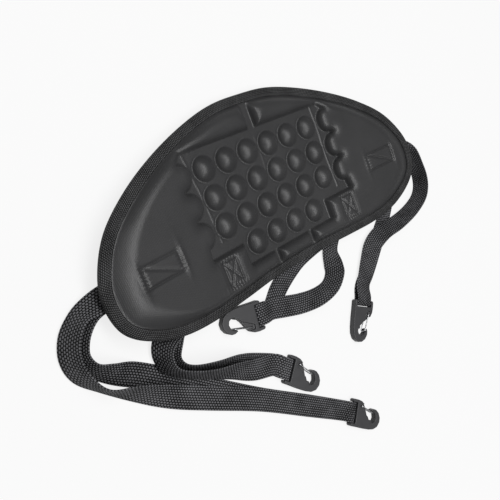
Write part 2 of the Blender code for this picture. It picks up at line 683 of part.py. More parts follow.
def hook_mesh():
    """Snap hook lying flat: bar at the origin, nose along +Y, open side towards -X."""
    inner = WEB_WIDTH * 0.5 + SLOT_SIDE
    outer = inner + EAR_WIDTH
    round_off = EAR_WIDTH * EAR_ROUNDING
    back = -EAR_BACK
    half = HOOK_THICKNESS * 0.5
    right = [(inner, SLOT_WALL), (inner, back), (outer - round_off, back), (outer, back + round_off)]
    shape = [(x * outer, y * MM) for x, y in HOOK_SHAPE]
    loop = [(-x, y) for x, y in right] + shape + list(reversed(right))
    loop = [(-x, y) for x, y in loop]
    body = bpy.data.objects.new("hook_blank", prism("hook_blank", loop, -half, half, HOOK_EDGE * 0.5))
    bpy.context.scene.collection.objects.link(body)
    wall = half - GATE_WIRE - GAP - GATE_CLEARANCE
    pocket = [(-x * MM, y * MM) for x, y in GATE_POCKET]
    helpers = [
        ("UNION", cylinder("bar", BAR_RADIUS, 2 * inner + EAR_WIDTH, 12, "X"), (0, 0, 0)),
        ("DIFFERENCE", prism("pocket_top", pocket, wall, half + CUT_EXCESS, 0), (0, 0, 0)),
        ("DIFFERENCE", prism("pocket_foot", pocket, -half - CUT_EXCESS, -wall, 0), (0, 0, 0)),
        ("DIFFERENCE", cylinder("pivot_hole", GATE_WIRE * 0.5 + PIVOT_CLEARANCE, HOOK_THICKNESS * 2, 10, "Z"),
         (-GATE_PIVOT.x, GATE_PIVOT.y, 0)),
    ]
    made = []
    for operation, data, place in helpers:
        helper = bpy.data.objects.new(data.name, data)
        helper.location = place
        helper.hide_render = True
        helper.display_type = "WIRE"
        bpy.context.scene.collection.objects.link(helper)
        cut = body.modifiers.new(data.name, "BOOLEAN")
        cut.operation = operation
        cut.object = helper
        made.append(helper)
    view = bpy.context.evaluated_depsgraph_get()
    data = bpy.data.meshes.new_from_object(body.evaluated_get(view))
    data.name = "snap_hook"
    for helper in made + [body]:
        bpy.data.objects.remove(helper)
    return data


def gate_curve():
    """Wire gate about its pivot: both ends turn into the hook's hole from its two faces."""
    lift = HOOK_THICKNESS * 0.5 - GATE_WIRE * 0.5 - GATE_CLEARANCE
    reach = Vector((-(GATE_END.x - GATE_PIVOT.x), GATE_END.y - GATE_PIVOT.y, 0.0))
    up = Vector((0.0, 0.0, 1.0))
    corners = [up * GATE_TAIL, up * lift, reach + up * lift, reach - up * lift, -up * lift,
               -up * GATE_TAIL]
    path = [corners[0]]
    for i in range(1, 5):
        before = (corners[i - 1] - corners[i]).normalized() * GATE_BEND
        after = (corners[i + 1] - corners[i]).normalized() * GATE_BEND
        for t in (0.0, 0.33, 0.67, 1.0):
            path.append(corners[i] + before * (1 - t) ** 2 + after * t ** 2)
    path.append(corners[-1])
    curve = bpy.data.curves.new("gate_wire", "CURVE")
    curve.dimensions = "3D"
    curve.bevel_depth = GATE_WIRE * 0.5
    curve.bevel_resolution = 2
    curve.use_fill_caps = True
    spline = curve.splines.new("POLY")
    spline.points.add(len(path) - 1)
    for point, place in zip(spline.points, path):
        point.co = (*place, 1.0)
    return curve


def hooks():
    """Four snap hooks with their wire gates."""
    for name in STRAPS:
        body = hook_mesh()
        for polygon in body.polygons:
            polygon.use_smooth = True
        body.set_sharp_from_angle(angle=math.radians(35))
        hook = add_object(f"hook_{name}", body, ((0.022, 0.022, 0.023), 0.4))
        hook.location = bar_of(name)
        turn = math.radians(STRAPS[name]["heading"]) - math.pi / 2
        hook.rotation_euler = (0.0, 0.0, turn)
        gate = add_object(f"gate_{name}", gate_curve(), ((0.6, 0.6, 0.6), 0.25, 1.0))
        local = Vector((-GATE_PIVOT.x, GATE_PIVOT.y, 0.0))
        local.rotate(hook.rotation_euler)
        gate.location = hook.location + local
        gate.rotation_euler = hook.rotation_euler


def stitch_cells(half):
    """The triangles that a box's sides and the lines across it close in."""
    x, y = half
    corners = [(-x, -y), (x, -y), (x, y), (-x, y)]
    if y > x:
        return [[corners[i], corners[(i + 1) % 4], (0.0, 0.0)] for i in range(4)]
    return [[corners[0], corners[1], corners[2]], [corners[0], corners[2], corners[3]]]


def stitching(name):
    """Thread of one box: a rectangle with one line across it, or two on the lower boxes."""
    centre, half = stitch_boxes()[name]
    outer = [(sx * (half[0] + THREAD * 0.5), sy * (half[1] + THREAD * 0.5))
             for sx, sy in ((-1, -1), (1, -1), (1, 1), (-1, 1))]
    holes = [[tuple(p) for p in moved_inward(cell, THREAD * 0.5)] for cell in stitch_cells(half)]
    corners, triangles = triangulate([outer] + holes, [])
    middles = np.array([corners[list(t)].mean(axis=0) for t in triangles])
    inside = np.max([distance_to_loop(middles, hole) for hole in holes], axis=0) > 0.0
    kept = [triangle for triangle, hollow in zip(triangles, inside) if not hollow]
    low = FACE_FLOOR + RAISED_RISE - POCKET_DEPTH + GAP
    vertices = [bend((centre[0] - x, centre[1] + y, height))
                for height in (low, low + THREAD) for x, y in corners]
    size = len(corners)
    faces = [[i + layer * size for i in triangle] for layer in (0, 1) for triangle in kept]
    sides = {}
    for triangle in kept:
        for i in range(3):
            pair = (triangle[i], triangle[(i + 1) % 3])
            sides[frozenset(pair)] = None if frozenset(pair) in sides else pair
    faces += [[i, j, j + size, i + size] for i, j in filter(None, sides.values())]
    data = mesh_from(f"stitching_{name}", vertices, faces)
    add_object(f"stitching_{name}", data, ((0.03, 0.03, 0.03), 0.7))


def main():
    for old in list(bpy.data.objects):
        bpy.data.objects.remove(old, do_unlink=True)
    panels()
    edge_binding()
    back_band()
    for name in STRAPS:
        strap(name)
        stitching(name)
    hooks()
    for made in bpy.data.objects:
        made.location -= ORIGIN


main()
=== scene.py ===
"""Dresses the kayak backrest: moulded foam panel, bound edge, webbing and snap hooks.

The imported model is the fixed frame. The soft pieces, the wires and the thread are made again
here as finer meshes in the places of their solids, and the hooks keep theirs. Metres, +Z up.
"""

import logging
import math
from dataclasses import dataclass
from enum import Enum
from functools import cached_property
from typing import Dict, List, Mapping, Optional, Sequence, Tuple, Union

import bmesh
import bpy
import numpy as np
from mathutils import Matrix, Vector


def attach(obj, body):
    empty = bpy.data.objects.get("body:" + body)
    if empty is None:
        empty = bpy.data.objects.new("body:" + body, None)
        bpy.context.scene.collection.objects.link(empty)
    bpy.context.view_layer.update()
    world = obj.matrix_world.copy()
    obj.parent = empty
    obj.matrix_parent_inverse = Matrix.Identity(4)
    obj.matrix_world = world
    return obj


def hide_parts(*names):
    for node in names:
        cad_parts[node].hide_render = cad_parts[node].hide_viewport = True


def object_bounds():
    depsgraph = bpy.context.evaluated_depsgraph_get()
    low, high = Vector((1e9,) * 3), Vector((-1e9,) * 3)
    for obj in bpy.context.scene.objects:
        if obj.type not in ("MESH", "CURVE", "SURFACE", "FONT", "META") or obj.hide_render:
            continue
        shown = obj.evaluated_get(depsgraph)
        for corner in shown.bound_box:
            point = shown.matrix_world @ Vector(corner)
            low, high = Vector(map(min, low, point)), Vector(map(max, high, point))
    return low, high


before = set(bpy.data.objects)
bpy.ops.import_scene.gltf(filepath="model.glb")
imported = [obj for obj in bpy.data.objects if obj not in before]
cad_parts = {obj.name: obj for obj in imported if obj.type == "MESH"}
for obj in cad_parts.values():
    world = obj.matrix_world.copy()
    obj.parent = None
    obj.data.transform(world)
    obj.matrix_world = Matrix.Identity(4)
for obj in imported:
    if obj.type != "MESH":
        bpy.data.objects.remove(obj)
CAD_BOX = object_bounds()

LOG = logging.getLogger("backrest")
MM = 0.001
THREAD_COORDINATES = "thread_mm"
ROOT = "root"

Point = Tuple[float, float]
Socket = bpy.types.NodeSocket


class StrapPlace(Enum):
    """The four straps, by where they are sewn to the panel."""

    LEFT_END = "left_end"
    LEFT_LOWER = "left_lower"
    RIGHT_LOWER = "right_lower"
    RIGHT_END = "right_end"


class Run(Enum):
    """The two runs of a strap between the panel and the bar of its hook."""

    OUT = "out"
    BACK = "back"


class BoxPattern(Enum):
    """How a sewn box is crossed by thread."""

    DIAGONAL = "diagonal"
    CROSS = "cross"


# Mesh tools


@dataclass
class Shape:
    """A mesh being made: vertices in metres, faces, and thread coordinates in millimetres."""

    vertices: np.ndarray
    faces: List[Sequence[int]]
    threads: Optional[np.ndarray] = None


def joined(shapes: Sequence[Shape]) -> Shape:
    """Puts several shapes into one.

    Args:
        shapes: The shapes, none of which has thread coordinates.

    Returns:
        One shape with all their bodies.
    """
    faces: List[Sequence[int]] = []
    first = 0
    for shape in shapes:
        faces += [[first + i for i in face] for face in shape.faces]
        first += len(shape.vertices)
    return Shape(np.vstack([shape.vertices for shape in shapes]), faces)


def make_piece(name: str, shape: Shape, finish: bpy.types.Material, body: str,
               stands_for: Sequence[str] = ()) -> bpy.types.Object:
    """Makes a smooth-shaded object from a shape and lets it ride on a body.

    Args:
        name: The piece's name.
        shape: Its closed mesh, about the middle of the panel's rear face.
        finish: Its material.
        body: The body that carries it.
        stands_for: The nodes that it is shown instead of.

    Returns:
        The new object.
    """
    data = bpy.data.meshes.new(name)
    placed = np.asarray(shape.vertices) - ORIGIN
    data.from_pydata(placed.tolist(), [], [tuple(f) for f in shape.faces])
    if shape.threads is not None:
        attribute = data.attributes.new(THREAD_COORDINATES, "FLOAT_VECTOR", "POINT")
        attribute.data.foreach_set("vector", np.asarray(shape.threads, np.float32).ravel())
    work = bmesh.new()
    work.from_mesh(data)
    bmesh.ops.recalc_face_normals(work, faces=work.faces)
    work.to_mesh(data)
    work.free()
    data.shade_smooth()
    data.materials.append(finish)
    made = bpy.data.objects.new(name, data)
    bpy.context.scene.collection.objects.link(made)
    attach(made, body)
    if stands_for:
        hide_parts(*stands_for)
    LOG.info("%s: %d faces on %s", name, len(data.polygons), body)
    return made


def catmull_rom(points: Sequence[Sequence[float]], steps: int, closed: bool) -> np.ndarray:
    """Draws a smooth curve through points.

    Args:
        points: Points with any equal number of values.
        steps: How many points each span gets.
        closed: Whether the curve returns to its start.

    Returns:
        The curve's points, one a row.
    """
    data = np.array(points, float)
    count = len(data)
    curve = []
    for i in range(count if closed else count - 1):
        if closed:
            a, b, c, d = (data[(i + k) % count] for k in (-1, 0, 1, 2))
        else:
            a, b, c, d = (data[min(max(i + k, 0), count - 1)] for k in (-1, 0, 1, 2))
        for step in range(steps):
            t = step / steps
            curve.append(0.5 * (2 * b + (c - a) * t + (2 * a - 5 * b + 4 * c - d) * t * t
                                + (3 * b - a - 3 * c + d) * t ** 3))
    if not closed:
        curve.append(data[-1])
    return np.array(curve)


def evenly_spaced(curve: np.ndarray, count: int) -> np.ndarray:
    """Cuts a closed curve into equal lengths.

    Args:
        curve: The curve's points.
        count: How many points to return.

    Returns:
        Points at equal distances along the curve.
    """
    loop = np.vstack([curve, curve[:1]])
    lengths = run_lengths(loop)
    wanted = np.arange(count) * lengths[-1] / count
    return np.stack([np.interp(wanted, lengths, loop[:, k]) for k in range(loop.shape[1])], 1)


def run_lengths(points: np.ndarray) -> np.ndarray:
    """Distance along a line of points to each of them."""
    return np.concatenate([[0.0], np.cumsum(np.linalg.norm(np.diff(points, axis=0), axis=1))])


def distance_to_line(points: np.ndarray, line: np.ndarray, closed: bool) -> np.ndarray:
    """Distance of points to a line of straight pieces.

    Args:
        points: Flat points.
        line: The line's corners.
        closed: Whether the last corner joins the first.

    Returns:
        The distance of each point.
    """
    start = line if closed else line[:-1]
    side = (np.roll(line, -1, axis=0) if closed else line[1:]) - start
    nearest = np.full(len(points), np.inf)
    for a, s in zip(start, side):
        offset = points - a
        share = np.clip(offset @ s / (s @ s), 0.0, 1.0)
        nearest = np.minimum(nearest, np.linalg.norm(offset - share[:, None] * s, axis=1))
    return nearest


def distance_into(points: np.ndarray, loop: np.ndarray) -> np.ndarray:
    """How far points lie inside a closed loop.

    Args:
        points: Flat points.
        loop: The loop's corners.

    Returns:
        The distance of each point to the loop, negative outside it.
    """
    inside = np.zeros(len(points), bool)
    for a, b in zip(loop, np.roll(loop, -1, axis=0)):
        if a[1] == b[1]:
            continue
        crossing = (a[1] > points[:, 1]) != (b[1] > points[:, 1])
        reach = a[0] + (points[:, 1] - a[1]) * (b[0] - a[0]) / (b[1] - a[1])
        inside ^= crossing & (points[:, 0] < reach)
    distance = distance_to_line(points, loop, True)
    return np.where(inside, distance, -distance)


def thread_grid(across: np.ndarray, along: np.ndarray) -> np.ndarray:
    """Thread coordinates of a band, from the metres across and along it."""
    parts = np.broadcast_arrays(across, along[:, None], np.zeros((1, 1)))
    return np.stack(parts, 2).reshape(-1, 3) / MM


def eased(share: np.ndarray) -> np.ndarray:
    """A share from 0 to 1 with a soft start and end."""
    held = np.clip(share, 0.0, 1.0)
    return held * held * (3.0 - 2.0 * held)


def hump(distance: np.ndarray, width: float) -> np.ndarray:
    """A smooth hump of height 1 that falls off over a width."""
    return np.exp(-(distance / width) ** 2)


def arc(centre: Point, radius: float, start: float, end: float, steps: int) -> List[Point]:
    """Points on an arc, with its angles in degrees."""
    angles = np.radians(np.linspace(start, end, steps + 1))
    return [(centre[0] + radius * math.cos(a), centre[1] + radius * math.sin(a)) for a in angles]


def tube(path: np.ndarray, radius: float, sides: int) -> Shape:
    """A round tube with closed ends.

    Args:
        path: The points of its centreline.
        radius: Its radius.
        sides: Faces around it.

    Returns:
        The tube's shape.
    """
    along = np.gradient(path, axis=0)
    along /= np.linalg.norm(along, axis=1)[:, None]
    normal = np.cross(along[0], (0.31, 0.17, 0.94))
    vertices = []
    for point, ahead in zip(path, along):
        normal = normal - ahead * (normal @ ahead)
        normal /= np.linalg.norm(normal)
        across = np.cross(ahead, normal)
        for angle in np.arange(sides) * 2.0 * math.pi / sides:
            vertices.append(point + radius * (normal * math.cos(angle) + across * math.sin(angle)))
    count = len(path)
    faces: List[Sequence[int]] = [list(range(sides)), list(range((count - 1) * sides, count * sides))]
    for i in range(count - 1):
        for k in range(sides):
            m = (k + 1) % sides
            faces.append([i * sides + k, i * sides + m, (i + 1) * sides + m, (i + 1) * sides + k])
    return Shape(np.array(vertices), faces)


# Materials


def linear(colour: str) -> Tuple[float, float, float, float]:
    """Turns an sRGB hex colour into linear values with full opacity."""
    values = [int(colour[i:i + 2], 16) / 255.0 for i in (1, 3, 5)]
    red, green, blue = (v / 12.92 if v <= 0.04045 else ((v + 0.055) / 1.055) ** 2.4 for v in values)
    return red, green, blue, 1.0


def feed(tree: bpy.types.NodeTree, node: bpy.types.Node, inputs: Mapping[Union[int, str], object]) -> None:
    """Sets or links the inputs of a node.

    Args:
        tree: The node tree that it is in.
        node: The node.
        inputs: For a socket's name or number, its value or the output that feeds it.
    """
    for name, value in inputs.items():
        if isinstance(value, Socket):
            tree.links.new(value, node.inputs[name])
        else:
            node.inputs[name].default_value = value


def add_node(tree: bpy.types.NodeTree, kind: str, settings: Mapping[str, object] = {},
             inputs: Mapping[Union[int, str], object] = {}) -> bpy.types.Node:
    """Adds a node with its settings and links.

    Args:
        tree: The node tree that it goes into.
        kind: The node's type.
        settings: Values of its own properties.
        inputs: For a socket's name or number, its value or the output that feeds it.

    Returns:
        The new node.
    """
    node = tree.nodes.new(kind)
    for name, value in settings.items():
        setattr(node, name, value)
    feed(tree, node, inputs)
    return node


def new_material(name: str) -> Tuple[bpy.types.Material, bpy.types.NodeTree, bpy.types.Node]:
    """Makes an empty node material.

    Args:
        name: The material's name.

    Returns:
        The material, its node tree and its Principled shader.
    """
    made = bpy.data.materials.new(name)
    made.use_nodes = True
    return made, made.node_tree, made.node_tree.nodes["Principled BSDF"]


def combine(tree: bpy.types.NodeTree, operation: str, first: object, second: object = 0.0) -> Socket:
    """Works out one value from two, each a number or an output."""
    return add_node(tree, "ShaderNodeMath", {"operation": operation}, {0: first, 1: second}).outputs[0]


@dataclass(frozen=True)
class Weave:
    """Pattern of thread crowns, in millimetres.

    The thread pitch counts ends side by side and the pick pitch counts crowns along an end.
    Each end starts its crowns a share of a pick later than its neighbour.
    """

    thread_pitch: float
    pick_pitch: float
    stagger: float

    def crowns(self, tree: bpy.types.NodeTree) -> Socket:
        """Builds the height of the weave from the piece's thread coordinates.

        Args:
            tree: The node tree of the material.

        Returns:
            An output that is 1 on the crown of a thread and 0 in the gaps.
        """
        place = add_node(tree, "ShaderNodeAttribute", {"attribute_name": THREAD_COORDINATES})
        split = add_node(tree, "ShaderNodeSeparateXYZ", {}, {0: place.outputs["Vector"]})
        end = combine(tree, "DIVIDE", split.outputs[0], self.thread_pitch)
        pick = combine(tree, "DIVIDE", split.outputs[1], self.pick_pitch)
        late = combine(tree, "MULTIPLY", combine(tree, "FLOOR", end), self.stagger)
        across = combine(tree, "ABSOLUTE", combine(tree, "SINE", combine(tree, "MULTIPLY", end, math.pi)))
        turned = combine(tree, "MULTIPLY", combine(tree, "ADD", pick, late), math.pi)
        along = combine(tree, "ABSOLUTE", combine(tree, "SINE", turned))
        return combine(tree, "POWER", combine(tree, "MULTIPLY", across, along), 0.7)


def noise(tree: bpy.types.NodeTree, size_mm: float, detail: float) -> Socket:
    """Cloudy variation over the object.

    Args:
        tree: The node tree of the material.
        size_mm: How large the clouds are.
        detail: How many finer layers they have.

    Returns:
        An output from about 0.3 to 0.7.
    """
    place = add_node(tree, "ShaderNodeTexCoord")
    return add_node(tree, "ShaderNodeTexNoise", {},
                    {"Vector": place.outputs["Object"], "Scale": 1.0 / (size_mm * MM),
                     "Detail": detail}).outputs[0]


def blend_colours(tree: bpy.types.NodeTree, share: Socket, low: str, high: str,
                  start: float = 0.0, end: float = 1.0) -> Socket:
    """Runs from one colour to another as a value rises.

    Args:
        tree: The node tree of the material.
        share: The value.
        low: The sRGB hex colour at the start.
        high: The sRGB hex colour at the end.
        start: The value that gives the first colour.
        end: The value that gives the second one.

    Returns:
        The colour output.
    """
    ramp = add_node(tree, "ShaderNodeValToRGB", {}, {0: share})
    ramp.color_ramp.elements[0].position = start
    ramp.color_ramp.elements[0].color = linear(low)
    ramp.color_ramp.elements[1].position = end
    ramp.color_ramp.elements[1].color = linear(high)
    return ramp.outputs[0]


@dataclass(frozen=True)
class StretchKnit:
    """Polyester stretch knit laminated to moulded EVA foam.

    The tight smooth filament is dark but glossy, so a slope that turns to the lamp shows a
    broad pale streak and the rest stays near black. The loops are too fine to count in the
    photograph: they are drawn 1.6 mm apart, coarser than in most such knits.
    """

    name: str = "stretch_knit_on_eva"
    shade: str = "#2a2a2b"
    lit: str = "#3b3b3c"
    roughness: float = 0.37
    ior: float = 1.5
    loops: Weave = Weave(1.6, 1.9, 0.5)
    relief_mm: float = 0.12
    blotch_mm: float = 45.0
    sheen: float = 0.05
    sheen_roughness: float = 0.45

    def make(self) -> bpy.types.Material:
        """Builds the material."""
        made, tree, shader = new_material(self.name)
        crowns = self.loops.crowns(tree)
        blotches = noise(tree, self.blotch_mm, 3.0)
        fuzz = noise(tree, self.loops.thread_pitch, 1.0)
        tone = combine(tree, "ADD", combine(tree, "MULTIPLY", crowns, 0.35),
                       combine(tree, "MULTIPLY", blotches, 0.6))
        tone = combine(tree, "ADD", tone, combine(tree, "MULTIPLY", fuzz, 0.25))
        colour = blend_colours(tree, tone, self.shade, self.lit, 0.3, 0.9)
        relief = combine(tree, "ADD", crowns, fuzz)
        bump = add_node(tree, "ShaderNodeBump", {},
                        {"Strength": 0.5, "Distance": self.relief_mm * MM, "Height": relief})
        feed(tree, shader, {"Base Color": colour, "Normal": bump.outputs[0], "IOR": self.ior,
                            "Roughness": self.roughness, "Sheen Weight": self.sheen,
                            "Sheen Roughness": self.sheen_roughness})
        return made


@dataclass(frozen=True)
class WovenBand:
    """Woven polypropylene: webbing or binding tape.

    Each crown of the smooth thread catches the light as a dot, and the gaps between them stay
    dark: the weave is the band's own, but its pale crowns are a painted highlight above the
    band's own colour and its dark gaps are painted shade below it, and cloudy patches strengthen
    the painted highlights as a painted sheen. The webbing's threads are drawn 2.6 mm apart, and
    their relief deeper than such thread has, so that the crowns show.
    """

    name: str
    # Colour of the gaps: painted shade between the threads, darker than the band's own colour.
    gap: str
    # Colour of the crowns: a painted highlight, paler than the band's own colour.
    crown_highlight: str
    weave: Weave
    roughness: float
    relief_mm: float = 0.45
    specular: float = 0.35

    def make(self) -> bpy.types.Material:
        """Builds the material."""
        made, tree, shader = new_material(self.name)
        crowns = self.weave.crowns(tree)
        # Cloudy patches where the painted highlights on the crowns are brighter: a painted sheen.
        sheen_patches = noise(tree, 22.0, 4.0)
        fibres = noise(tree, 0.8, 2.0)
        lifted = combine(tree, "MULTIPLY", crowns, combine(tree, "ADD", sheen_patches, 0.5))
        tone = combine(tree, "MULTIPLY", lifted, combine(tree, "ADD", fibres, 0.5))
        # Runs from painted shade in the gaps to painted highlight on the crowns.
        colour = blend_colours(tree, tone, self.gap, self.crown_highlight, 0.32, 0.95)
        bump = add_node(tree, "ShaderNodeBump", {},
                        {"Strength": 0.9, "Distance": self.relief_mm * MM, "Height": crowns})
        feed(tree, shader, {"Base Color": colour, "Normal": bump.outputs[0],
                            "Roughness": self.roughness, "Specular IOR Level": self.specular})
        return made


@dataclass(frozen=True)
class MouldedNylon:
    """Injection-moulded nylon with a spark-eroded mould finish.

    A fine even grain gives a satin shine. Handled corners are polished paler in patches, and the
    shine varies in cloudy patches across the faces.
    """

    name: str = "moulded_nylon"
    body: str = "#3c3c3e"
    scuffed: str = "#808080"
    roughness: float = 0.4
    ior: float = 1.53
    grain_mm: float = 0.5

    def make(self) -> bpy.types.Material:
        """Builds the material."""
        made, tree, shader = new_material(self.name)
        grain = noise(tree, self.grain_mm, 2.0)
        patches = noise(tree, 9.0, 5.0)
        edges = add_node(tree, "ShaderNodeNewGeometry").outputs["Pointiness"]
        worn = combine(tree, "MULTIPLY", combine(tree, "SUBTRACT", edges, 0.5), 9.0)
        worn = combine(tree, "MULTIPLY", worn, patches)
        colour = blend_colours(tree, worn, self.body, self.scuffed, 0.1, 1.0)
        rough = add_node(tree, "ShaderNodeMapRange", {},
                         {"Value": patches, "To Min": self.roughness - 0.08,
                          "To Max": self.roughness + 0.14})
        bump = add_node(tree, "ShaderNodeBump", {},
                        {"Strength": 0.35, "Distance": 0.05 * MM, "Height": grain})
        feed(tree, shader, {"Base Color": colour, "Roughness": rough.outputs[0],
                            "Normal": bump.outputs[0], "IOR": self.ior})
        return made


@dataclass(frozen=True)
class DrawnSteel:
    """Stainless spring wire, drawn bright.

    The die leaves it smooth with faint streaks, so it shows as a thin mirror-like line.
    """

    name: str = "drawn_stainless_wire"
    colour: str = "#cfd0d2"
    streak: str = "#a9aaac"
    roughness: float = 0.2
    streak_mm: float = 0.6

    def make(self) -> bpy.types.Material:
        """Builds the material."""
        made, tree, shader = new_material(self.name)
        streaks = noise(tree, self.streak_mm, 3.0)
        colour = blend_colours(tree, streaks, self.streak, self.colour, 0.3, 0.6)
        rough = add_node(tree, "ShaderNodeMapRange", {},
                         {"Value": streaks, "To Min": self.roughness - 0.06,
                          "To Max": self.roughness + 0.12})
        feed(tree, shader, {"Base Color": colour, "Roughness": rough.outputs[0], "Metallic": 1.0})
        return made


@dataclass(frozen=True)
class BondedThread:
    """Bonded polyester thread.

    Its plies are glued, so each stitch is a smooth dark bead with a narrow highlight.
    """

    name: str = "bonded_polyester_thread"
    dark: str = "#121212"
    light: str = "#48484a"
    roughness: float = 0.45
    ply_mm: float = 0.7

    def make(self) -> bpy.types.Material:
        """Builds the material."""
        made, tree, shader = new_material(self.name)
        plies = noise(tree, self.ply_mm, 2.0)
        colour = blend_colours(tree, plies, self.dark, self.light, 0.3, 0.7)
        bump = add_node(tree, "ShaderNodeBump", {},
                        {"Strength": 0.6, "Distance": 0.1 * MM, "Height": plies})
        feed(tree, shader, {"Base Color": colour, "Normal": bump.outputs[0],
                            "Roughness": self.roughness})
        return made


# Per band: painted shade for the gaps, then painted highlight for the crowns; the band's own colour lies
# between them.
WEBBING = WovenBand("woven_webbing", "#040404", "#77777a", Weave(2.6, 3.4, 0.5), 0.6, 0.7, 0.12)
BINDING_TAPE = WovenBand("woven_binding_tape", "#060606", "#5c5c5d", Weave(1.7, 2.4, 0.34),
                         0.6, 0.45, 0.15)
BACK_CLOTH = WovenBand("woven_back_cloth", "#121213", "#2f2f30", Weave(1.2, 1.2, 0.5), 0.7, 0.25)


# The panel


@dataclass(frozen=True)
class SewnBox:
    """A sewn box on the panel: its middle, its half sides and how thread crosses it."""

    centre: Point
    half: Point
    pattern: BoxPattern

    def lines(self) -> List[Tuple[Point, Point]]:
        """The straight runs of thread, as pairs of ends on the flat panel.

        Returns:
            The four sides and the one or two lines across.
        """
        cx, cy = self.centre
        hx, hy = self.half
        corners = [(cx - x, cy + y) for x, y in ((-hx, -hy), (hx, -hy), (hx, hy), (-hx, hy))]
        runs = [(corners[i], corners[(i + 1) % 4]) for i in range(4)]
        runs.append((corners[0], corners[2]))
        if self.pattern is BoxPattern.CROSS:
            runs.append((corners[1], corners[3]))
        return runs


# Right half of the panel's outline from the top middle to the bottom middle, as shares of the
# half length and of the height above or below the middle of the dome grid.
OUTLINE_SHAPE: Sequence[Point] = [
    (0.0, 1.0), (0.178, 0.979), (0.365, 0.873), (0.56, 0.705), (0.734, 0.5), (0.88, 0.255),
    (0.971, -0.04), (1.0, -0.32), (0.975, -0.6), (0.888, -0.8), (0.747, -0.945),
    (0.58, -1.0), (0.373, -0.99), (0.187, -0.965), (0.0, -0.96),
]


@dataclass(frozen=True)
class PanelPlan:
    """Sizes of the curved panel that its pieces share."""

    half_length: float = 241.0 * MM
    top: float = 110.0 * MM
    bottom: float = 99.5 * MM
    bend_radius: float = 1530.0 * MM
    gap: float = 0.3 * MM
    outline_steps: int = 480
    backing: float = 2.0 * MM
    face_floor: float = 5.5 * MM
    tape: float = 0.8 * MM
    tape_width: float = 11.0 * MM
    band: float = 4.0 * MM
    band_points: int = 16
    web_width: float = 25.0 * MM
    web: float = 1.3 * MM
    dome_pitch: float = 32.0 * MM
    dome_radius: float = 14.5 * MM
    dome_columns: int = 6
    dome_rows: int = 3
    low_row_columns: int = 4
    end_box_x: float = 176.0 * MM
    end_box_y: float = -24.0 * MM
    end_box_half: Point = (22.5 * MM, 10.5 * MM)
    low_box_x: float = 99.0 * MM
    low_box_y: float = -62.0 * MM
    low_box_half: Point = (9.5 * MM, 13.5 * MM)

    @cached_property
    def edge(self) -> np.ndarray:
        """Outer edge of the bound panel, clockwise from the top middle."""
        half = [(x * self.half_length, y * (self.top if y > 0 else self.bottom))
                for x, y in OUTLINE_SHAPE]
        other = [(-x, y) for x, y in reversed(half[1:-1])]
        return evenly_spaced(catmull_rom(half + other, 24, True), self.outline_steps)

    @cached_property
    def inward(self) -> np.ndarray:
        """Unit vectors that point into the panel from its edge."""
        along = np.roll(self.edge, -1, axis=0) - np.roll(self.edge, 1, axis=0)
        along /= np.linalg.norm(along, axis=1)[:, None]
        return np.stack([along[:, 1], -along[:, 0]], 1)

    @property
    def rest_height(self) -> float:
        """Height of the floor under the panel's rear face: the band's middle facet lies on it."""
        half_step = (self.end_box_x + self.end_box_half[0]) / (self.band_points - 1)
        reach = self.bend_radius + self.gap + self.band
        return self.bend_radius - reach * math.cos(half_step / self.bend_radius)

    def inset(self, distance: float) -> np.ndarray:
        """The edge moved inward by a distance."""
        return self.edge + self.inward * distance

    def bent(self, flat: np.ndarray, height: np.ndarray) -> np.ndarray:
        """Moves flat points on to the curved panel.

        Args:
            flat: Points on the flat panel.
            height: The height of each above the rear face.

        Returns:
            Their places in the frame.
        """
        angle = flat[:, 0] / self.bend_radius
        reach = self.bend_radius - height
        return np.stack([reach * np.sin(angle), flat[:, 1], self.bend_radius - reach * np.cos(angle)], 1)

    def row_height(self, row: float) -> float:
        """Height of a row of domes on the panel, counted down from the top row."""
        return (self.dome_rows * 0.5 - row) * self.dome_pitch

    def dome_centres(self) -> List[Point]:
        """Centres of the domes: the full grid and the shorter row under it."""
        rows = [(row, self.dome_columns) for row in range(self.dome_rows)]
        rows.append((self.dome_rows, self.low_row_columns))
        return [((column - (columns - 1) * 0.5) * self.dome_pitch, self.row_height(row))
                for row, columns in rows for column in range(columns)]

    def sewn_boxes(self) -> Dict[StrapPlace, SewnBox]:
        """The sewn box that holds each strap."""
        end, low = BoxPattern.DIAGONAL, BoxPattern.CROSS
        return {
            StrapPlace.LEFT_END: SewnBox((-self.end_box_x, self.end_box_y), self.end_box_half, end),
            StrapPlace.LEFT_LOWER: SewnBox((-self.low_box_x, self.low_box_y), self.low_box_half, low),
            StrapPlace.RIGHT_LOWER: SewnBox((self.low_box_x, self.low_box_y), self.low_box_half, low),
            StrapPlace.RIGHT_END: SewnBox((self.end_box_x, self.end_box_y), self.end_box_half, end),
        }


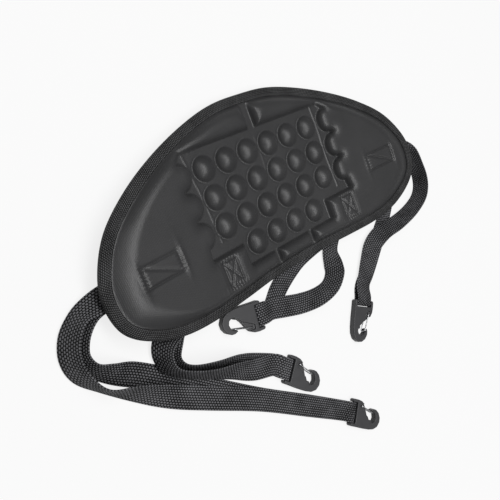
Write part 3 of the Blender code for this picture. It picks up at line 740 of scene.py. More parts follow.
@dataclass
class Sheet:
    """A closed sheet in the panel's outline: a fine side and a plain side.

    Its points stand in columns along the panel, closer together over the dome grid.
    """

    plan: PanelPlan
    fine_step: float = 0.95 * MM
    coarse_step: float = 2.2 * MM
    fine_x: float = 118.0 * MM
    fine_share: Point = (0.13, 0.86)

    def spaced(self, marks: Sequence[float], steps: Sequence[float]) -> np.ndarray:
        """Places between marks, with a step of its own for each stretch.

        Args:
            marks: Ends of the stretches, rising.
            steps: The greatest step in each stretch.

        Returns:
            The places, marks included.
        """
        places = [marks[0]]
        for low, high, step in zip(marks[:-1], marks[1:], steps):
            count = max(1, math.ceil((high - low) / step))
            places += [low + (high - low) * (i + 1) / count for i in range(count)]
        return np.array(places)

    def grid(self, rim: np.ndarray) -> np.ndarray:
        """Flat points of the sheet.

        Args:
            rim: The closed line of its edge.

        Returns:
            An array of columns by rows by 2.
        """
        left, right = int(np.argmin(rim[:, 0])), int(np.argmax(rim[:, 0]))
        upper = np.roll(rim, -left, axis=0)[: (right - left) % len(rim) + 1]
        lower = np.roll(rim, -right, axis=0)[: (left - right) % len(rim) + 1][::-1]
        ends = rim[left, 0], rim[right, 0]
        tip = 0.02 * MM
        near = 9.0 * MM
        marks = [ends[0] + tip, ends[0] + near * 0.1, ends[0] + near, -self.fine_x, self.fine_x,
                 ends[1] - near, ends[1] - near * 0.1, ends[1] - tip]
        steps = [0.3 * MM, self.fine_step, self.coarse_step, self.fine_step, self.coarse_step,
                 self.fine_step, 0.3 * MM]
        xs = self.spaced(marks, steps)
        height = self.plan.top + self.plan.bottom
        share = self.spaced([0.0, *self.fine_share, 1.0],
                            [self.coarse_step / height, self.fine_step / height, self.coarse_step / height])
        low = np.interp(xs, lower[:, 0], lower[:, 1])
        high = np.interp(xs, upper[:, 0], upper[:, 1])
        ys = low[:, None] + (high - low)[:, None] * share[None]
        return np.stack([np.broadcast_to(xs[:, None], ys.shape), ys], 2)

    def solid(self, flat: np.ndarray, fine: np.ndarray, plain: float) -> Shape:
        """Closes the sheet between a detailed side and a plain one.

        Args:
            flat: The points that grid() gave.
            fine: The height at each of them on the detailed side.
            plain: The height of the other side.

        Returns:
            The closed shape, with thread coordinates along the panel.
        """
        columns, rows = flat.shape[:2]
        face = self.plan.bent(flat.reshape(-1, 2), fine.reshape(-1))
        rim = flat[:, [0, -1]].reshape(-1, 2)
        back = self.plan.bent(rim, np.full(len(rim), plain))
        index = np.arange(columns * rows).reshape(columns, rows)
        quads = np.stack([index[:-1, :-1], index[1:, :-1], index[1:, 1:], index[:-1, 1:]], 2)
        faces = quads.reshape(-1, 4).tolist()
        low = columns * rows + 2 * np.arange(columns)
        high = low + 1
        for i in range(columns - 1):
            faces.append([low[i], high[i], high[i + 1], low[i + 1]])
            faces.append([index[i, 0], low[i], low[i + 1], index[i + 1, 0]])
            faces.append([index[i, -1], index[i + 1, -1], high[i + 1], high[i]])
        for i in (0, columns - 1):
            faces.append([*index[i].tolist(), high[i], low[i]])
        threads = np.vstack([flat.reshape(-1, 2), rim]) / MM
        return Shape(np.vstack([face, back]), faces, np.pad(threads, ((0, 0), (0, 1))))


@dataclass
class FacePanel:
    """The moulded foam face: raised panels, domes, channels, sewn pockets and creases."""

    plan: PanelPlan
    rise: float = 9.0 * MM
    wall_width: float = 3.4 * MM
    border: float = 11.2 * MM
    border_slope: float = 8.0 * MM
    top_slope_extra: float = 6.0 * MM
    end_border_extra: float = 0.6 * MM
    end_slope_extra: float = 22.0 * MM
    end_start: float = 0.55
    dome_rise: float = 7.2 * MM
    left_start: float = 0.3
    left_gain: float = 0.8
    soft_foot: float = 1.22
    left_foot_drop: float = 0.3
    size_spread: float = 0.05
    groove_depth: float = 0.9 * MM
    groove_width: float = 1.2 * MM
    top_channel_half: float = 5.0 * MM
    top_block_clearance: float = 7.5 * MM
    lobe_from_dome: float = 34.0 * MM
    lobe_radius: float = 15.0 * MM
    cusp_depth: float = 0.5 * MM
    low_step_x: float = 68.5 * MM
    low_step_clearance: float = 11.5 * MM
    low_block_clearance: float = 4.0 * MM
    channel_inner_x: float = 27.0 * MM
    channel_outer_x: float = 31.0 * MM
    pocket_depth: float = 1.9 * MM
    pocket_margin: float = 2.5 * MM
    pocket_slope: float = 4.5 * MM
    pocket_base: float = 0.2
    stitch_groove: float = 1.4 * MM
    pucker_depth: float = 0.65 * MM
    pucker_wave: float = 0.62 * MM
    lip_rise: float = 1.5 * MM
    crease_width: float = 1.0 * MM
    nick_rise: float = 1.0 * MM
    nick_width: float = 1.1 * MM
    edge_roll: float = 2.2 * MM
    beyond: float = 40.0 * MM

    @property
    def top_block_y(self) -> float:
        """Foot of the raised panels over the top row of domes."""
        return self.plan.row_height(0) + self.plan.dome_radius + self.top_block_clearance

    @property
    def low_block_y(self) -> float:
        """Head of the raised panels under the lowest row of domes."""
        return self.plan.row_height(self.plan.dome_rows) - self.plan.dome_radius - self.low_block_clearance

    @property
    def lobe_x(self) -> float:
        """How far out the round lobes beside the dome grid are centred."""
        return (self.plan.dome_columns - 1) * 0.5 * self.plan.dome_pitch + self.lobe_from_dome

    def inner_loop(self) -> np.ndarray:
        """Inner line of the right raised panel, closed far outside the edge.

        Returns:
            The loop's corners.
        """
        plan = self.plan
        low_y = self.low_block_y
        foot_y = plan.row_height(plan.dome_rows - 1) - plan.dome_radius - self.low_step_clearance
        far_x, far_y = plan.half_length + self.beyond, plan.top + self.beyond
        line = [(far_x, -far_y), (self.channel_outer_x, -far_y), (self.channel_outer_x, low_y),
                (self.low_step_x, low_y), (self.low_step_x, foot_y), (self.lobe_x, foot_y)]
        for row in reversed(range(plan.dome_rows)):
            line += arc((self.lobe_x, plan.row_height(row)), self.lobe_radius, 262, 98, 24)
            if row:
                line.append((self.lobe_x + self.cusp_depth, plan.row_height(row - 0.5)))
        line += [(self.lobe_x - self.lobe_radius * 0.6, self.top_block_y),
                 (self.top_channel_half, self.top_block_y), (self.top_channel_half, far_y),
                 (far_x, far_y)]
        return np.array(line)

    def raised(self, flat: np.ndarray) -> np.ndarray:
        """Height of the raised panels over the floor of the face.

        Args:
            flat: Points on the flat panel.

        Returns:
            The height at each point.
        """
        folded = np.stack([np.abs(flat[:, 0]), flat[:, 1]], 1)
        side = distance_into(folded, self.inner_loop())
        corner = np.array([self.channel_inner_x, self.low_block_y])
        middle = np.minimum(corner[0] - folded[:, 0], corner[1] - folded[:, 1])
        inside = np.maximum(side, middle)
        wall = 1.0 - np.exp(-np.maximum(inside, 0.0) / self.wall_width)
        start = self.end_start * self.plan.half_length
        end = eased((folded[:, 0] - start) / (self.plan.half_length - start))
        top = eased(flat[:, 1] / (0.5 * self.plan.top))
        slope = self.border_slope + self.end_slope_extra * end + self.top_slope_extra * top * (1.0 - end)
        to_edge = distance_into(flat, self.plan.edge) - self.border - self.end_border_extra * end
        return self.rise * wall * (1.0 - (1.0 - np.clip(to_edge / slope, 0.0, 1.0)) ** 2)

    def domes(self, flat: np.ndarray) -> np.ndarray:
        """Height of the domes over the floor of the face.

        Args:
            flat: Points on the flat panel.

        Returns:
            The height at each point, below zero in the groove round a dome.
        """
        radius = self.plan.dome_radius
        height = np.zeros(len(flat))
        for number, centre in enumerate(self.plan.dome_centres()):
            away = np.linalg.norm(flat - centre, axis=1)
            full = 1.0 + self.size_spread * math.sin(2.4 * number)
            # The left foot of a dome is cut sharper than the right one, and only it is grooved.
            left = np.clip(self.left_start - self.left_gain * (flat[:, 0] - centre[0]) / radius, 0.0, 1.0)
            foot = self.soft_foot - self.left_foot_drop * left
            cap = np.maximum(1.0 - (away / radius) ** 2, 0.0) ** foot
            height += self.dome_rise * full * cap
            height -= self.groove_depth * left * hump(away - radius, self.groove_width)
        return height

    def sewn(self, flat: np.ndarray) -> np.ndarray:
        """How far sewing pulls the face down.

        Args:
            flat: Points on the flat panel.

        Returns:
            The depth at each point.
        """
        depth = np.zeros(len(flat))
        for box in self.plan.sewn_boxes().values():
            over = np.maximum(np.abs(flat - box.centre) - np.array(box.half) - self.pocket_margin, 0.0)
            pocket = 1.0 - eased(np.linalg.norm(over, axis=1) / self.pocket_slope)
            runs = [distance_to_line(flat, np.array(run), False) for run in box.lines()]
            lines = np.min(runs, axis=0)
            pulled = self.pocket_base + (1.0 - self.pocket_base) * hump(lines, self.stitch_groove)
            depth += self.pocket_depth * pocket * pulled
            depth += self.puckers(flat, box)
        return depth

    def puckers(self, flat: np.ndarray, box: SewnBox) -> np.ndarray:
        """Folds that run out from the short sides of a sewn box.

        Args:
            flat: Points on the flat panel.
            box: The sewn box.

        Returns:
            The depth of the folds at each point, below zero on their ridges.
        """
        turned = box.half[0] < box.half[1]
        local = (flat - box.centre)[:, ::-1] if turned else flat - box.centre
        long_half, short_half = (box.half[::-1] if turned else box.half)
        beyond = np.abs(local[:, 0]) - long_half
        near = hump(beyond - 0.8 * MM, 3.2 * MM) * hump(local[:, 1], short_half * 1.25)
        wave = np.sin(local[:, 1] / self.pucker_wave + 1.7 * np.sin(local[:, 0] / (5.0 * MM)))
        lip = hump(beyond - 3.4 * MM, 1.9 * MM) * hump(local[:, 1], short_half * 1.4)
        return self.pucker_depth * near * wave - self.lip_rise * lip

    def heights(self, flat: np.ndarray) -> np.ndarray:
        """Height of the face above the panel's rear face.

        Args:
            flat: Points on the flat panel.

        Returns:
            The height at each point.
        """
        height = self.raised(flat) + self.domes(flat)
        height -= np.minimum(self.sewn(flat), np.maximum(height, 0.0))
        height += self.creases(flat)
        edge = distance_into(flat, self.plan.edge)
        rolled = self.edge_roll * hump(edge, self.edge_roll)
        return self.plan.face_floor + height - rolled

    def creases(self, flat: np.ndarray) -> np.ndarray:
        """Fine ridges where the cloth is drawn tight between the forms.

        Args:
            flat: Points on the flat panel.

        Returns:
            The height of the ridges at each point: two beside the dome grid, a short faint one
            in its upper middle and a nick in one dome.
        """
        lines = [[(-101, 70), (-98, 42), (-95, 16), (-93, -30)],
                 [(96, 72), (97, 40), (96, 8), (98, -34)],
                 [(0.5, 60), (1.2, 44), (0.8, 30), (0.4, 22)]]
        heights = (0.5, 0.8, 0.3)
        height = np.zeros(len(flat))
        for line, ridge in zip(lines, heights):
            near = distance_to_line(flat, catmull_rom(line, 6, False) * MM, False)
            height += ridge * MM * hump(near, self.crease_width)
        nick = distance_to_line(flat, np.array([(57, 54), (60, 49), (59, 44)]) * MM, False)
        return height + self.nick_rise * hump(nick, self.nick_width)

    def build(self, finish: bpy.types.Material) -> List[bpy.types.Object]:
        """Makes the face.

        Args:
            finish: Its material.

        Returns:
            The one piece.
        """
        sheet = Sheet(self.plan)
        flat = sheet.grid(self.plan.inset(self.plan.tape + self.plan.gap))
        heights = self.heights(flat.reshape(-1, 2)).reshape(flat.shape[:2])
        shape = sheet.solid(flat, heights, self.plan.backing + self.plan.gap)
        piece = make_piece("moulded_face", shape, finish, ROOT, ["front_panel"])
        return [piece]


@dataclass
class BackCloth:
    """The flat backing behind the foam."""

    plan: PanelPlan
    slack: float = 0.25 * MM

    def build(self, finish: bpy.types.Material) -> List[bpy.types.Object]:
        """Makes the backing.

        Args:
            finish: Its material.

        Returns:
            The one piece.
        """
        sheet = Sheet(self.plan, fine_step=3.0 * MM, coarse_step=4.0 * MM)
        flat = sheet.grid(self.plan.inset(self.plan.tape + self.plan.gap))
        x, y = flat[..., 0], flat[..., 1]
        waves = self.slack * (0.5 + 0.5 * np.sin(x / (17 * MM)) * np.sin(y / (23 * MM)))
        shape = sheet.solid(flat, waves, self.plan.backing)
        return [make_piece("back_cloth", shape, finish, ROOT, ["back_panel"])]


@dataclass
class EdgeBinding:
    """Woven tape folded round the edge of face and backing, and the thread that holds it."""

    plan: PanelPlan
    fold_radius: float = 2.6 * MM
    crown: float = 0.7 * MM
    seam_inset: float = 2.2 * MM
    seam_press: float = 0.5 * MM
    flap_points: int = 9
    fold_points: int = 6

    def fold_line(self, inset: float) -> np.ndarray:
        """One face of the tape as seen in its section.

        Args:
            inset: Depth of this face under the tape's outer face.

        Returns:
            Rows of distance in from the edge and height, from the rear flap to the front one.
        """
        plan = self.plan
        low = -plan.gap - plan.tape
        high = plan.face_floor + plan.gap + plan.tape
        radius = self.fold_radius
        depths = np.linspace(plan.tape_width, radius, self.flap_points)
        rear = [(d, low + inset) for d in depths]
        rear += arc((radius, low + radius), radius - inset, 270, 180, self.fold_points)
        front = arc((radius, high - radius), radius - inset, 180, 90, self.fold_points)
        front += [(d, high - inset) for d in depths[::-1]]
        line = np.array(rear + front)
        share = np.clip(line[:, 0] / plan.tape_width, 0.0, 1.0)
        puff = self.crown * np.sin(math.pi * share) ** 0.8
        press = self.seam_press * hump(line[:, 0] - (plan.tape_width - self.seam_inset), 1.1 * MM)
        upper = line[:, 1] > (low + high) * 0.5
        line[:, 1] += np.where(upper, puff - press, 0.0)
        return line

    def build(self, finish: bpy.types.Material, thread: bpy.types.Material) -> List[bpy.types.Object]:
        """Makes the tape and its seam.

        Args:
            finish: The tape's material.
            thread: The seam's material.

        Returns:
            The two pieces.
        """
        plan = self.plan
        outer = self.fold_line(0.0)
        section = np.vstack([outer, self.fold_line(plan.tape)[::-1]])
        across = run_lengths(outer)
        across = np.concatenate([across, across[::-1]])
        count, size = len(plan.edge), len(section)
        along = np.arange(count) * run_lengths(np.vstack([plan.edge, plan.edge[:1]]))[-1] / count
        flat = plan.edge[:, None, :] + plan.inward[:, None, :] * section[None, :, :1]
        height = np.broadcast_to(section[None, :, 1], (count, size))
        vertices = plan.bent(flat.reshape(-1, 2), height.reshape(-1))
        index = np.arange(count * size).reshape(count, size)
        turned, ahead = np.roll(index, -1, axis=1), np.roll(index, -1, axis=0)
        quads = np.stack([index, turned, np.roll(turned, -1, axis=0), ahead], 2).reshape(-1, 4)
        shape = Shape(vertices, quads.tolist(), thread_grid(across, along))
        tape = make_piece("binding_tape", shape, finish, ROOT, ["edge_binding"])
        return [tape, self.seam(thread)]

    def seam(self, thread: bpy.types.Material) -> bpy.types.Object:
        """Makes the row of stitches along the front flap.

        Args:
            thread: Its material.

        Returns:
            The piece.
        """
        plan = self.plan
        depth = plan.tape_width - self.seam_inset
        line = plan.inset(depth)
        front = self.fold_line(0.0)[-self.flap_points:]
        height = float(np.interp(depth, front[:, 0], front[:, 1]))
        path = plan.bent(line, np.full(len(line), height))
        shape = stitched(np.vstack([path, path[:1]]), StitchSizes(length=3.0 * MM, pitch=4.2 * MM))
        return make_piece("binding_seam", shape, thread, ROOT)


# Thread


@dataclass(frozen=True)
class StitchSizes:
    """Sizes of a row of stitches."""

    length: float = 2.6 * MM
    pitch: float = 3.4 * MM
    radius: float = 0.32 * MM
    sides: int = 6


def stitched(line: np.ndarray, sizes: StitchSizes) -> Shape:
    """Lays stitches along a line on a surface that faces up.

    Args:
        line: Points of the surface.
        sizes: Sizes of the stitches.

    Returns:
        The row of stitches, each a bead with its ends drawn in.
    """
    lengths = run_lengths(line)
    count = max(1, round(lengths[-1] / sizes.pitch))
    profile = np.array([(-0.5, -1.3), (-0.42, 0.2), (-0.2, 0.75), (0.2, 0.75), (0.42, 0.2), (0.5, -1.3)])
    beads = []
    for i in range(count):
        middle = (i + 0.5) * lengths[-1] / count
        at = middle + profile[:, 0] * sizes.length
        path = np.stack([np.interp(at, lengths, line[:, k]) for k in range(3)], 1)
        path[:, 2] += profile[:, 1] * sizes.radius
        beads.append(tube(path, sizes.radius, sizes.sides))
    return joined(beads)


@dataclass
class BoxStitching:
    """The thread of one sewn box."""

    place: StrapPlace
    box: SewnBox
    face: FacePanel

    def build(self, finish: bpy.types.Material) -> List[bpy.types.Object]:
        """Makes the stitches on the moulded face.

        Args:
            finish: Their material.

        Returns:
            The one piece.
        """
        rows = []
        for start, end in self.box.lines():
            flat = np.linspace(start, end, 40)
            line = self.face.plan.bent(flat, self.face.heights(flat))
            rows.append(stitched(line, StitchSizes()))
        node = f"stitching_{self.place.value}"
        return [make_piece(f"thread_{self.place.value}", joined(rows), finish, ROOT, [node])]


# Webbing


@dataclass(frozen=True)
class StrapRoute:
    """How one strap lies.

    The points are millimetres from a point of the panel. A row of a run is x, y, the band's
    lean in degrees and its lift above the floor. The heading is the hook's, in degrees.
    """

    start: Point
    bar: Point
    heading: float
    out: Sequence[Tuple[float, float, float, float]]
    back: Sequence[Tuple[float, float, float, float]]


PLAN = PanelPlan()
FLOOR_Z = PLAN.rest_height
# The frame's origin is on the floor, under the middle of the band across the back.
ORIGIN = np.array((0.0, PLAN.end_box_y, FLOOR_Z))
ROUTES: Dict[StrapPlace, StrapRoute] = {
    StrapPlace.LEFT_END: StrapRoute(
        (-PLAN.half_length, PLAN.end_box_y), (239, -282), -40.5,
        [(-2, -2, 38, 4), (-19, -6, 60, 1.5), (-33, -19, 56, 1.5), (-40, -37, 54, 1.5), (-38, -56, 60, 1),
         (-25, -77, 76, 0), (1, -97, 45, 1), (35, -124, 12, 3), (71, -150, 0, 3), (126, -189, 0, 3),
         (181, -234, 0, 3)],
        [(-2, -5, 38, 0), (-14, -12, 60, 0), (-26, -24, 57, 0), (-32, -39, 55, 0), (-27, -54, 56, 0),
         (-13, -67, 36, 0), (9, -83, 4, 0), (38, -108, 0, 0), (78, -145, 0, 0), (126, -188, 0, 0),
         (181, -233, 0, 0)]),
    StrapPlace.LEFT_LOWER: StrapRoute(
        (-PLAN.low_box_x, -PLAN.bottom), (30, -102), -45.0,
        [(-2, 31.5, -3, 5.0), (-7, 23.5, -2, 4.3), (-14, 18.5, 0, 3.7), (-23, 16, 0, 3.3),
         (-36, 15, 0, 3), (-56, 15, 2, 3), (-79, 14, 14, 3.8), (-97, 9, 40, 3.8), (-106, -3, 60, 3.6),
         (-104, -19, 68, 3.4), (-89, -33, 66, 3.2), (-64, -48, 58, 2.5), (-38, -61, 38, 2.6),
         (-12, -76, 10, 3.6)],
        [(-2, 31.5, -3, 3.0), (-7, 23.5, -2, 1.8), (-14, 18.5, 0, 0.8), (-23, 16, 0, 0.2),
         (-36, 15, 0, 0), (-56, 15, 2, 0), (-76, 12, 9, 0), (-90, 3, 34, 0), (-98, -8, 58, 1),
         (-95, -20, 66, 1.5), (-82, -31, 64, 1.5), (-58, -43, 54, 1), (-32, -56, 32, 0),
         (-9, -71, 8, 0)]),
    StrapPlace.RIGHT_LOWER: StrapRoute(
        (PLAN.low_box_x, -PLAN.bottom), (-179, -25), 171.0,
        [(-2, 31, 3, 5.0), (-8, 23, 2, 4.0), (-17, 16, 0, 3.0), (-30, 8, 0, 2.1), (-42, -6, 4, 2.0),
         (-50, -22, 34, 1.6), (-57, -33, 62, 0.6), (-70, -43, 58, 0), (-92, -46, 38, 0),
         (-117, -42, 20, 0.5), (-141, -34, 6, 2.5)],
        [(-2, 31, 3, 3.0), (-8, 23, 2, 1.6), (-19, 17, 0, 0.5), (-37, 13, 0, 0), (-64, 11, 0, 0),
         (-94, 6, 0, 0), (-120, -4, 0, 0), (-140, -15, 0, 0)]),
    StrapPlace.RIGHT_END: StrapRoute(
        (PLAN.half_length, PLAN.end_box_y), (-162, -168), -122.0,
        [(3, -5, 40, 2.5), (16, -16, 75, 1), (23, -36, 88, 0), (24, -56, 88, 0), (17, -73, 84, 0),
         (1, -84, 74, 1), (-28, -92, 62, 2.5), (-61, -96, 50, 3), (-90, -97, 38, 3),
         (-113, -106, 22, 3), (-128, -122, 8, 3), (-141, -138, 0, 3)],
        [(-34, -6, -10, 3), (-25, -21, -25, 0), (-28, -39, -30, 0), (-41, -58, -22, 0),
         (-61, -79, -6, 0), (-83, -98, 0, 0), (-109, -120, 0, 0), (-131, -137, 0, 0)]),
}


def ribbon(centres: np.ndarray, sides: np.ndarray, width: float, thickness: float,
           across_points: int = 9) -> Shape:
    """A woven band with rounded selvedges.

    Args:
        centres: The points of its centreline.
        sides: The direction of its width at each point.
        width: Its width.
        thickness: Its thickness.
        across_points: Points across each face.

    Returns:
        The band's shape with thread coordinates.
    """
    along = np.gradient(centres, axis=0)
    side = sides / np.linalg.norm(sides, axis=1)[:, None]
    up = np.cross(along, side)
    up /= np.linalg.norm(up, axis=1)[:, None]
    bulge = thickness * 0.5
    across = np.linspace(-width * 0.5 + bulge, width * 0.5 - bulge, across_points)
    section = [(a, bulge) for a in across]
    section += [(width * 0.5 - bulge * 0.3, bulge * 0.7), (width * 0.5, 0.0),
                (width * 0.5 - bulge * 0.3, -bulge * 0.7)]
    section += [(a, -bulge) for a in across[::-1]]
    section += [(-width * 0.5 + bulge * 0.3, -bulge * 0.7), (-width * 0.5, 0.0),
                (-width * 0.5 + bulge * 0.3, bulge * 0.7)]
    shape = np.array(section)
    count, size = len(centres), len(shape)
    vertices = (centres[:, None] + side[:, None] * shape[None, :, :1]
                + up[:, None] * shape[None, :, 1:]).reshape(-1, 3)
    index = np.arange(count * size).reshape(count, size)
    turned = np.roll(index, -1, axis=1)
    quads = np.stack([index[:-1], turned[:-1], turned[1:], index[1:]], 2).reshape(-1, 4).tolist()
    ends = [index[0].tolist(), index[-1].tolist()]
    return Shape(vertices, quads + ends, thread_grid(shape[:, 0], run_lengths(centres)))


@dataclass
class Strap:
    """One length of webbing: sewn end, run to the hook, turn round its bar and run back."""

    place: StrapPlace
    route: StrapRoute
    plan: PanelPlan
    hook_thickness: float = 8.0 * MM
    bar_radius: float = 2.0 * MM
    approach: float = 22.0 * MM
    bar_approach: float = 9.0 * MM
    loose: float = 1.2 * MM
    sewn_margin: float = 3.0 * MM
    end_lead: float = 20.0 * MM
    least_step: float = 0.35 * MM
    curve_steps: int = 16

    @property
    def heading(self) -> np.ndarray:
        """Direction from the hook's bar to its nose."""
        angle = math.radians(self.route.heading)
        return np.array([math.cos(angle), math.sin(angle), 0.0])

    @property
    def bar(self) -> np.ndarray:
        """Middle of the hook's bar."""
        x, y = self.route.bar
        return np.array([self.route.start[0] + x * MM, self.route.start[1] + y * MM,
                         FLOOR_Z + self.hook_thickness * 0.5])

    @property
    def wrap(self) -> float:
        """Radius at which the middle of the webbing turns round the bar."""
        return self.bar_radius + self.plan.gap + self.plan.web * 0.5

    @property
    def layer(self) -> float:
        """Height of one layer of webbing on another."""
        return self.plan.web + self.plan.gap

    def stand(self, lean: float) -> float:
        """How high the middle of the webbing stands over the floor at a lean."""
        return (self.plan.web_width * abs(math.sin(lean)) + self.plan.web * abs(math.cos(lean))) * 0.5

    def sewn_run(self, run: Run) -> List[Tuple[float, ...]]:
        """Rows x, y, z and lean where the webbing is sewn to the back of the panel.

        Args:
            run: The outer or the inner layer.

        Returns:
            The rows, from the sewn end outward.
        """
        box = self.plan.sewn_boxes()[self.place]
        (x, y), half = box.centre, box.half
        layer = 1 if run is Run.BACK else 0
        depth = self.plan.gap + self.plan.web * 0.5 + layer * self.layer
        if box.pattern is BoxPattern.DIAGONAL:
            depth += self.plan.gap + self.plan.band
            sign = math.copysign(1.0, x)
            reach = [-half[0] - self.sewn_margin, 0.0, half[0], half[0] + self.end_lead]
            if self.place is StrapPlace.RIGHT_END and layer:
                reach = [-half[0] - self.sewn_margin, -half[0] * 0.4, half[0] * 0.4]
            drops = [0.0, 0.0, 0.0, self.loose * layer]
            places = [(x + sign * r, y, drop) for r, drop in zip(reach, drops)]
            lean = 0.0
        else:
            places = [(x, y + half[1] + self.sewn_margin, 0.0), (x, y + half[1] * 0.2, 0.0)]
            lean = x / self.plan.bend_radius
        flat = np.array([(px, py) for px, py, _ in places])
        bent = self.plan.bent(flat, np.array([-depth - drop for _, _, drop in places]))
        return [(*point, lean) for point in bent]

    def free_run(self, run: Run) -> List[Tuple[float, ...]]:
        """Rows x, y, z and lean of one loose run, from the panel to the hook's bar.

        Args:
            run: Which of the two runs.

        Returns:
            The rows, from the panel outward.
        """
        rows = []
        for x, y, degrees, lift in getattr(self.route, run.value):
            lean = math.radians(degrees)
            rows.append((self.route.start[0] + x * MM, self.route.start[1] + y * MM,
                         FLOOR_Z + lift * MM + self.stand(lean), lean))
        over = 1.0 if run is Run.OUT else 0.0
        far = self.bar - self.heading * self.approach
        near = self.bar - self.heading * self.bar_approach
        z = self.bar[2] + (2.0 * over - 1.0) * self.wrap
        low = FLOOR_Z + self.plan.web * 0.5
        rows.append((far[0], far[1], low + over * (self.layer + self.loose), 0.0))
        rows.append((near[0], near[1], z, 0.0))
        rows.append((self.bar[0], self.bar[1], z, 0.0))
        return rows

    def smooth(self, rows: Sequence[Sequence[float]]) -> List[Tuple[np.ndarray, np.ndarray]]:
        """Draws the band's smooth centreline through rows.

        Args:
            rows: Rows of x, y, z and lean.

        Returns:
            Pairs of a centre and the direction of the width, without points that would fold.
        """
        dense = catmull_rom(rows, self.curve_steps, False)
        along = np.gradient(dense[:, :3], axis=0)
        kept: List[Tuple[np.ndarray, np.ndarray]] = []
        for i, (row, step) in enumerate(zip(dense, along)):
            left = np.array([-step[1], step[0], 0.0]) / math.hypot(step[0], step[1])
            side = left * math.cos(row[3]) + np.array([0.0, 0.0, math.sin(row[3])])
            centre = np.array([row[0], row[1], max(row[2], FLOOR_Z + self.stand(row[3]))])
            if kept:
                ahead = step / np.linalg.norm(step)
                swing = (side - kept[-1][1]) * self.plan.web_width * 0.5
                least = (centre - kept[-1][0]) @ ahead - abs(swing @ ahead)
                if least < self.least_step and i < len(dense) - 1:
                    continue
            kept.append((centre, side))
        return kept

    def build(self, finish: bpy.types.Material) -> List[bpy.types.Object]:
        """Makes the strap.

        Args:
            finish: Its material.

        Returns:
            The one piece.
        """
        left = np.array([-self.heading[1], self.heading[0], 0.0])
        up = np.array([0.0, 0.0, 1.0])
        turn = [(self.bar + (self.heading * math.sin(a) + up * math.cos(a)) * self.wrap, left)
                for a in np.radians(np.linspace(0, 180, 19))]
        out = self.smooth(self.sewn_run(Run.OUT) + self.free_run(Run.OUT))
        back = self.smooth(self.sewn_run(Run.BACK) + self.free_run(Run.BACK))
        path = out[:-1] + turn + back[-2::-1]
        shape = ribbon(np.array([centre for centre, _ in path]), np.array([side for _, side in path]),
                       self.plan.web_width, self.plan.web)
        node = f"strap_{self.place.value}"
        return [make_piece(f"webbing_{self.place.value}", shape, finish, ROOT, [node])]


@dataclass
class BackBand:
    """Doubled webbing across the back between the two end boxes."""

    plan: PanelPlan

    def build(self, finish: bpy.types.Material) -> List[bpy.types.Object]:
        """Makes the band.

        Args:
            finish: Its material.

        Returns:
            The one piece.
        """
        reach = self.plan.end_box_x + self.plan.end_box_half[0]
        xs = np.linspace(-reach, reach, 120)
        flat = np.stack([xs, np.full(len(xs), self.plan.end_box_y)], 1)
        centres = self.plan.bent(flat, np.full(len(xs), -self.plan.gap - self.plan.band * 0.5))
        sides = np.tile((0.0, 1.0, 0.0), (len(xs), 1))
        shape = ribbon(centres, sides, self.plan.web_width, self.plan.band)
        return [make_piece("doubled_back_band", shape, finish, ROOT, ["back_band"])]


# Hooks


@dataclass
class SnapHook:
    """A moulded hook, kept from the frame, and its sprung wire gate."""

    strap: Strap
    moulding_step: float = 0.42 * MM
    wire: float = 1.4 * MM
    gate_pivot: Point = (9.5 * MM, 12.7 * MM)
    gate_end: Point = (3.2 * MM, 36.6 * MM)
    wire_bend: float = 2.2 * MM
    wire_clearance: float = 0.1 * MM
    wire_tip: float = 0.9 * MM

    def soften(self, finish: bpy.types.Material) -> bpy.types.Object:
        """Rounds the edges of the hook as a mould does, and dresses it.

        Args:
            finish: Its material.

        Returns:
            The frame's own hook.
        """
        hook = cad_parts[f"hook_{self.strap.place.value}"]
        cast = hook.modifiers.new("cast", "REMESH")
        cast.mode = "VOXEL"
        cast.voxel_size = self.moulding_step
        cast.use_smooth_shade = True
        rounding = hook.modifiers.new("rounding", "SMOOTH")
        rounding.factor = 0.5
        rounding.iterations = 6
        hook.data.materials.clear()
        hook.data.materials.append(finish)
        LOG.info("%s: kept, edges rounded", hook.name)
        return hook

    def wire_path(self) -> np.ndarray:
        """Centreline of the gate: both ends turn into the hook from its two faces.

        Returns:
            Points in the frame.
        """
        lift = self.strap.hook_thickness * 0.5 - self.wire * 0.5 - self.wire_clearance
        pivot, end = self.gate_pivot, self.gate_end
        corners = np.array([(*pivot, self.wire_tip), (*pivot, lift), (*end, lift), (*end, -lift),
                            (*pivot, -lift), (*pivot, -self.wire_tip)])
        path = [corners[0]]
        for i in range(1, 5):
            before, after = corners[i - 1] - corners[i], corners[i + 1] - corners[i]
            before *= self.wire_bend / np.linalg.norm(before)
            after *= self.wire_bend / np.linalg.norm(after)
            path += [corners[i] + before * (1 - t) ** 2 + after * t ** 2 for t in np.linspace(0, 1, 7)]
        path.append(corners[-1])
        local = np.array(path) * (-1.0, 1.0, 1.0)
        ahead = self.strap.heading
        right = np.array([ahead[1], -ahead[0], 0.0])
        return self.strap.bar + local[:, :1] * right + local[:, 1:2] * ahead + local[:, 2:] * (0, 0, 1)

    def build(self, plastic: bpy.types.Material, steel: bpy.types.Material) -> List[bpy.types.Object]:
        """Dresses the hook and makes its gate.

        Args:
            plastic: The hook's material.
            steel: The wire's material.

        Returns:
            The two pieces.
        """
        place = self.strap.place.value
        gate = make_piece(f"wire_gate_{place}", tube(self.wire_path(), self.wire * 0.5, 14), steel,
                          f"{place}_gate", [f"gate_{place}"])
        return [self.soften(plastic), gate]


# Studio


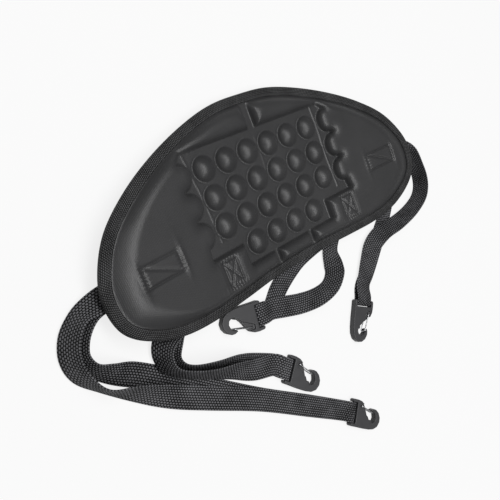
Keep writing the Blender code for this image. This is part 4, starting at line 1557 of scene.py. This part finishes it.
@dataclass(frozen=True)
class SoftBox:
    """A studio lamp: where it stands, its two sides and its power in watts."""

    name: str
    place: Tuple[float, float, float]
    sides: Tuple[float, float]
    watts: float

    def build(self, target: Vector) -> bpy.types.Object:
        """Sets the lamp up, turned to the object with its first side across the panel.

        Args:
            target: What it points at.

        Returns:
            The lamp.
        """
        data = bpy.data.lights.new(self.name, "AREA")
        data.shape = "RECTANGLE"
        data.size, data.size_y = self.sides
        data.energy = self.watts
        lamp = bpy.data.objects.new(self.name, data)
        lamp.location = self.place
        away = (lamp.location - target).normalized()
        across = away.cross(Vector((1.0, 0.0, 0.0))).normalized()
        lamp.rotation_euler = Matrix((across, away.cross(across), away)).transposed().to_euler()
        bpy.context.scene.collection.objects.link(lamp)
        return lamp


@dataclass
class Studio:
    """Pale floor, soft light and the camera of the photograph."""

    camera_place: Tuple[float, float, float] = (-0.3712, 0.0810, 0.46224)
    camera_right: Tuple[float, float, float] = (0.728, -0.359, 0.585)
    camera_down: Tuple[float, float, float] = (-0.405, -0.912, -0.056)
    focal_pixels: float = 505.4
    picture_pixels: float = 500.0
    sensor: float = 36.0
    floor_side: float = 6.0
    floor_drop: float = 0.1 * MM
    floor_glow: float = 0.8
    ambient: float = 0.2
    lamps: Sequence[SoftBox] = (
        SoftBox("overhead", (0.2, -0.05, 2.95), (5.0, 0.9), 88.0),
    )

    def seen(self, tree: bpy.types.NodeTree) -> Socket:
        """A value that is 1 for rays from the camera or through glass."""
        path = add_node(tree, "ShaderNodeLightPath")
        return combine(tree, "MAXIMUM", path.outputs["Is Camera Ray"], path.outputs["Is Transmission Ray"])

    def camera(self) -> bpy.types.Object:
        """Places the camera where the photograph was taken from.

        Returns:
            The camera.
        """
        right = Vector(self.camera_right).normalized()
        up = -Vector(self.camera_down)
        up = (up - right * up.dot(right)).normalized()
        data = bpy.data.cameras.new("camera")
        data.sensor_width = self.sensor
        data.lens = self.focal_pixels / self.picture_pixels * self.sensor
        camera = bpy.data.objects.new("camera", data)
        turn = Matrix((right, up, right.cross(up))).transposed().to_4x4()
        camera.matrix_world = Matrix.Translation(self.camera_place) @ turn
        bpy.context.scene.collection.objects.link(camera)
        bpy.context.scene.camera = camera
        return camera

    def floor(self) -> bpy.types.Object:
        """Lays the pale floor just under the object.

        Returns:
            The floor.
        """
        half = self.floor_side * 0.5
        data = bpy.data.meshes.new("floor")
        data.from_pydata([(x * half, y * half, CAD_BOX[0].z - self.floor_drop)
                          for x, y in ((-1, -1), (1, -1), (1, 1), (-1, 1))], [], [(0, 1, 2, 3)])
        made, tree, shader = new_material("pale_floor")
        feed(tree, shader, {"Base Color": linear("#f2f2f2"), "Roughness": 0.9})
        glow = add_node(tree, "ShaderNodeEmission", {}, {"Color": (1.0, 1.0, 1.0, 1.0)})
        share = combine(tree, "MULTIPLY", self.seen(tree), self.floor_glow)
        mix = add_node(tree, "ShaderNodeMixShader", {},
                       {0: share, 1: shader.outputs[0], 2: glow.outputs[0]})
        tree.links.new(mix.outputs[0], tree.nodes["Material Output"].inputs[0])
        data.materials.append(made)
        ground = bpy.data.objects.new("floor", data)
        bpy.context.scene.collection.objects.link(ground)
        return ground

    def world(self) -> bpy.types.World:
        """Sets an even grey surround that the camera sees as white.

        Returns:
            The world.
        """
        made = bpy.data.worlds.new("surround")
        made.use_nodes = True
        tree = made.node_tree
        extra = combine(tree, "MULTIPLY", self.seen(tree), 1.0 - self.ambient)
        strength = combine(tree, "ADD", extra, self.ambient)
        sky = tree.nodes["Background"]
        sky.inputs["Color"].default_value = (1.0, 1.0, 1.0, 1.0)
        tree.links.new(strength, sky.inputs["Strength"])
        bpy.context.scene.world = made
        return made

    def build(self) -> None:
        """Sets up camera, floor, surround and lamps."""
        bpy.context.scene.view_settings.view_transform = "Standard"
        self.camera()
        self.floor()
        self.world()
        target = (CAD_BOX[0] + CAD_BOX[1]) * 0.5
        for lamp in self.lamps:
            lamp.build(target)


def main() -> None:
    """Builds the studio and every piece."""
    logging.basicConfig(level=logging.INFO, format="%(name)s: %(message)s")
    Studio().build()
    thread = BondedThread().make()
    webbing = WEBBING.make()
    plastic = MouldedNylon().make()
    steel = DrawnSteel().make()
    face = FacePanel(PLAN)
    face.build(StretchKnit().make())
    BackCloth(PLAN).build(BACK_CLOTH.make())
    EdgeBinding(PLAN).build(BINDING_TAPE.make(), thread)
    BackBand(PLAN).build(webbing)
    for place, box in PLAN.sewn_boxes().items():
        strap = Strap(place, ROUTES[place], PLAN)
        strap.build(webbing)
        SnapHook(strap).build(plastic, steel)
        BoxStitching(place, box, face).build(thread)


if __name__ == "__main__":
    main()
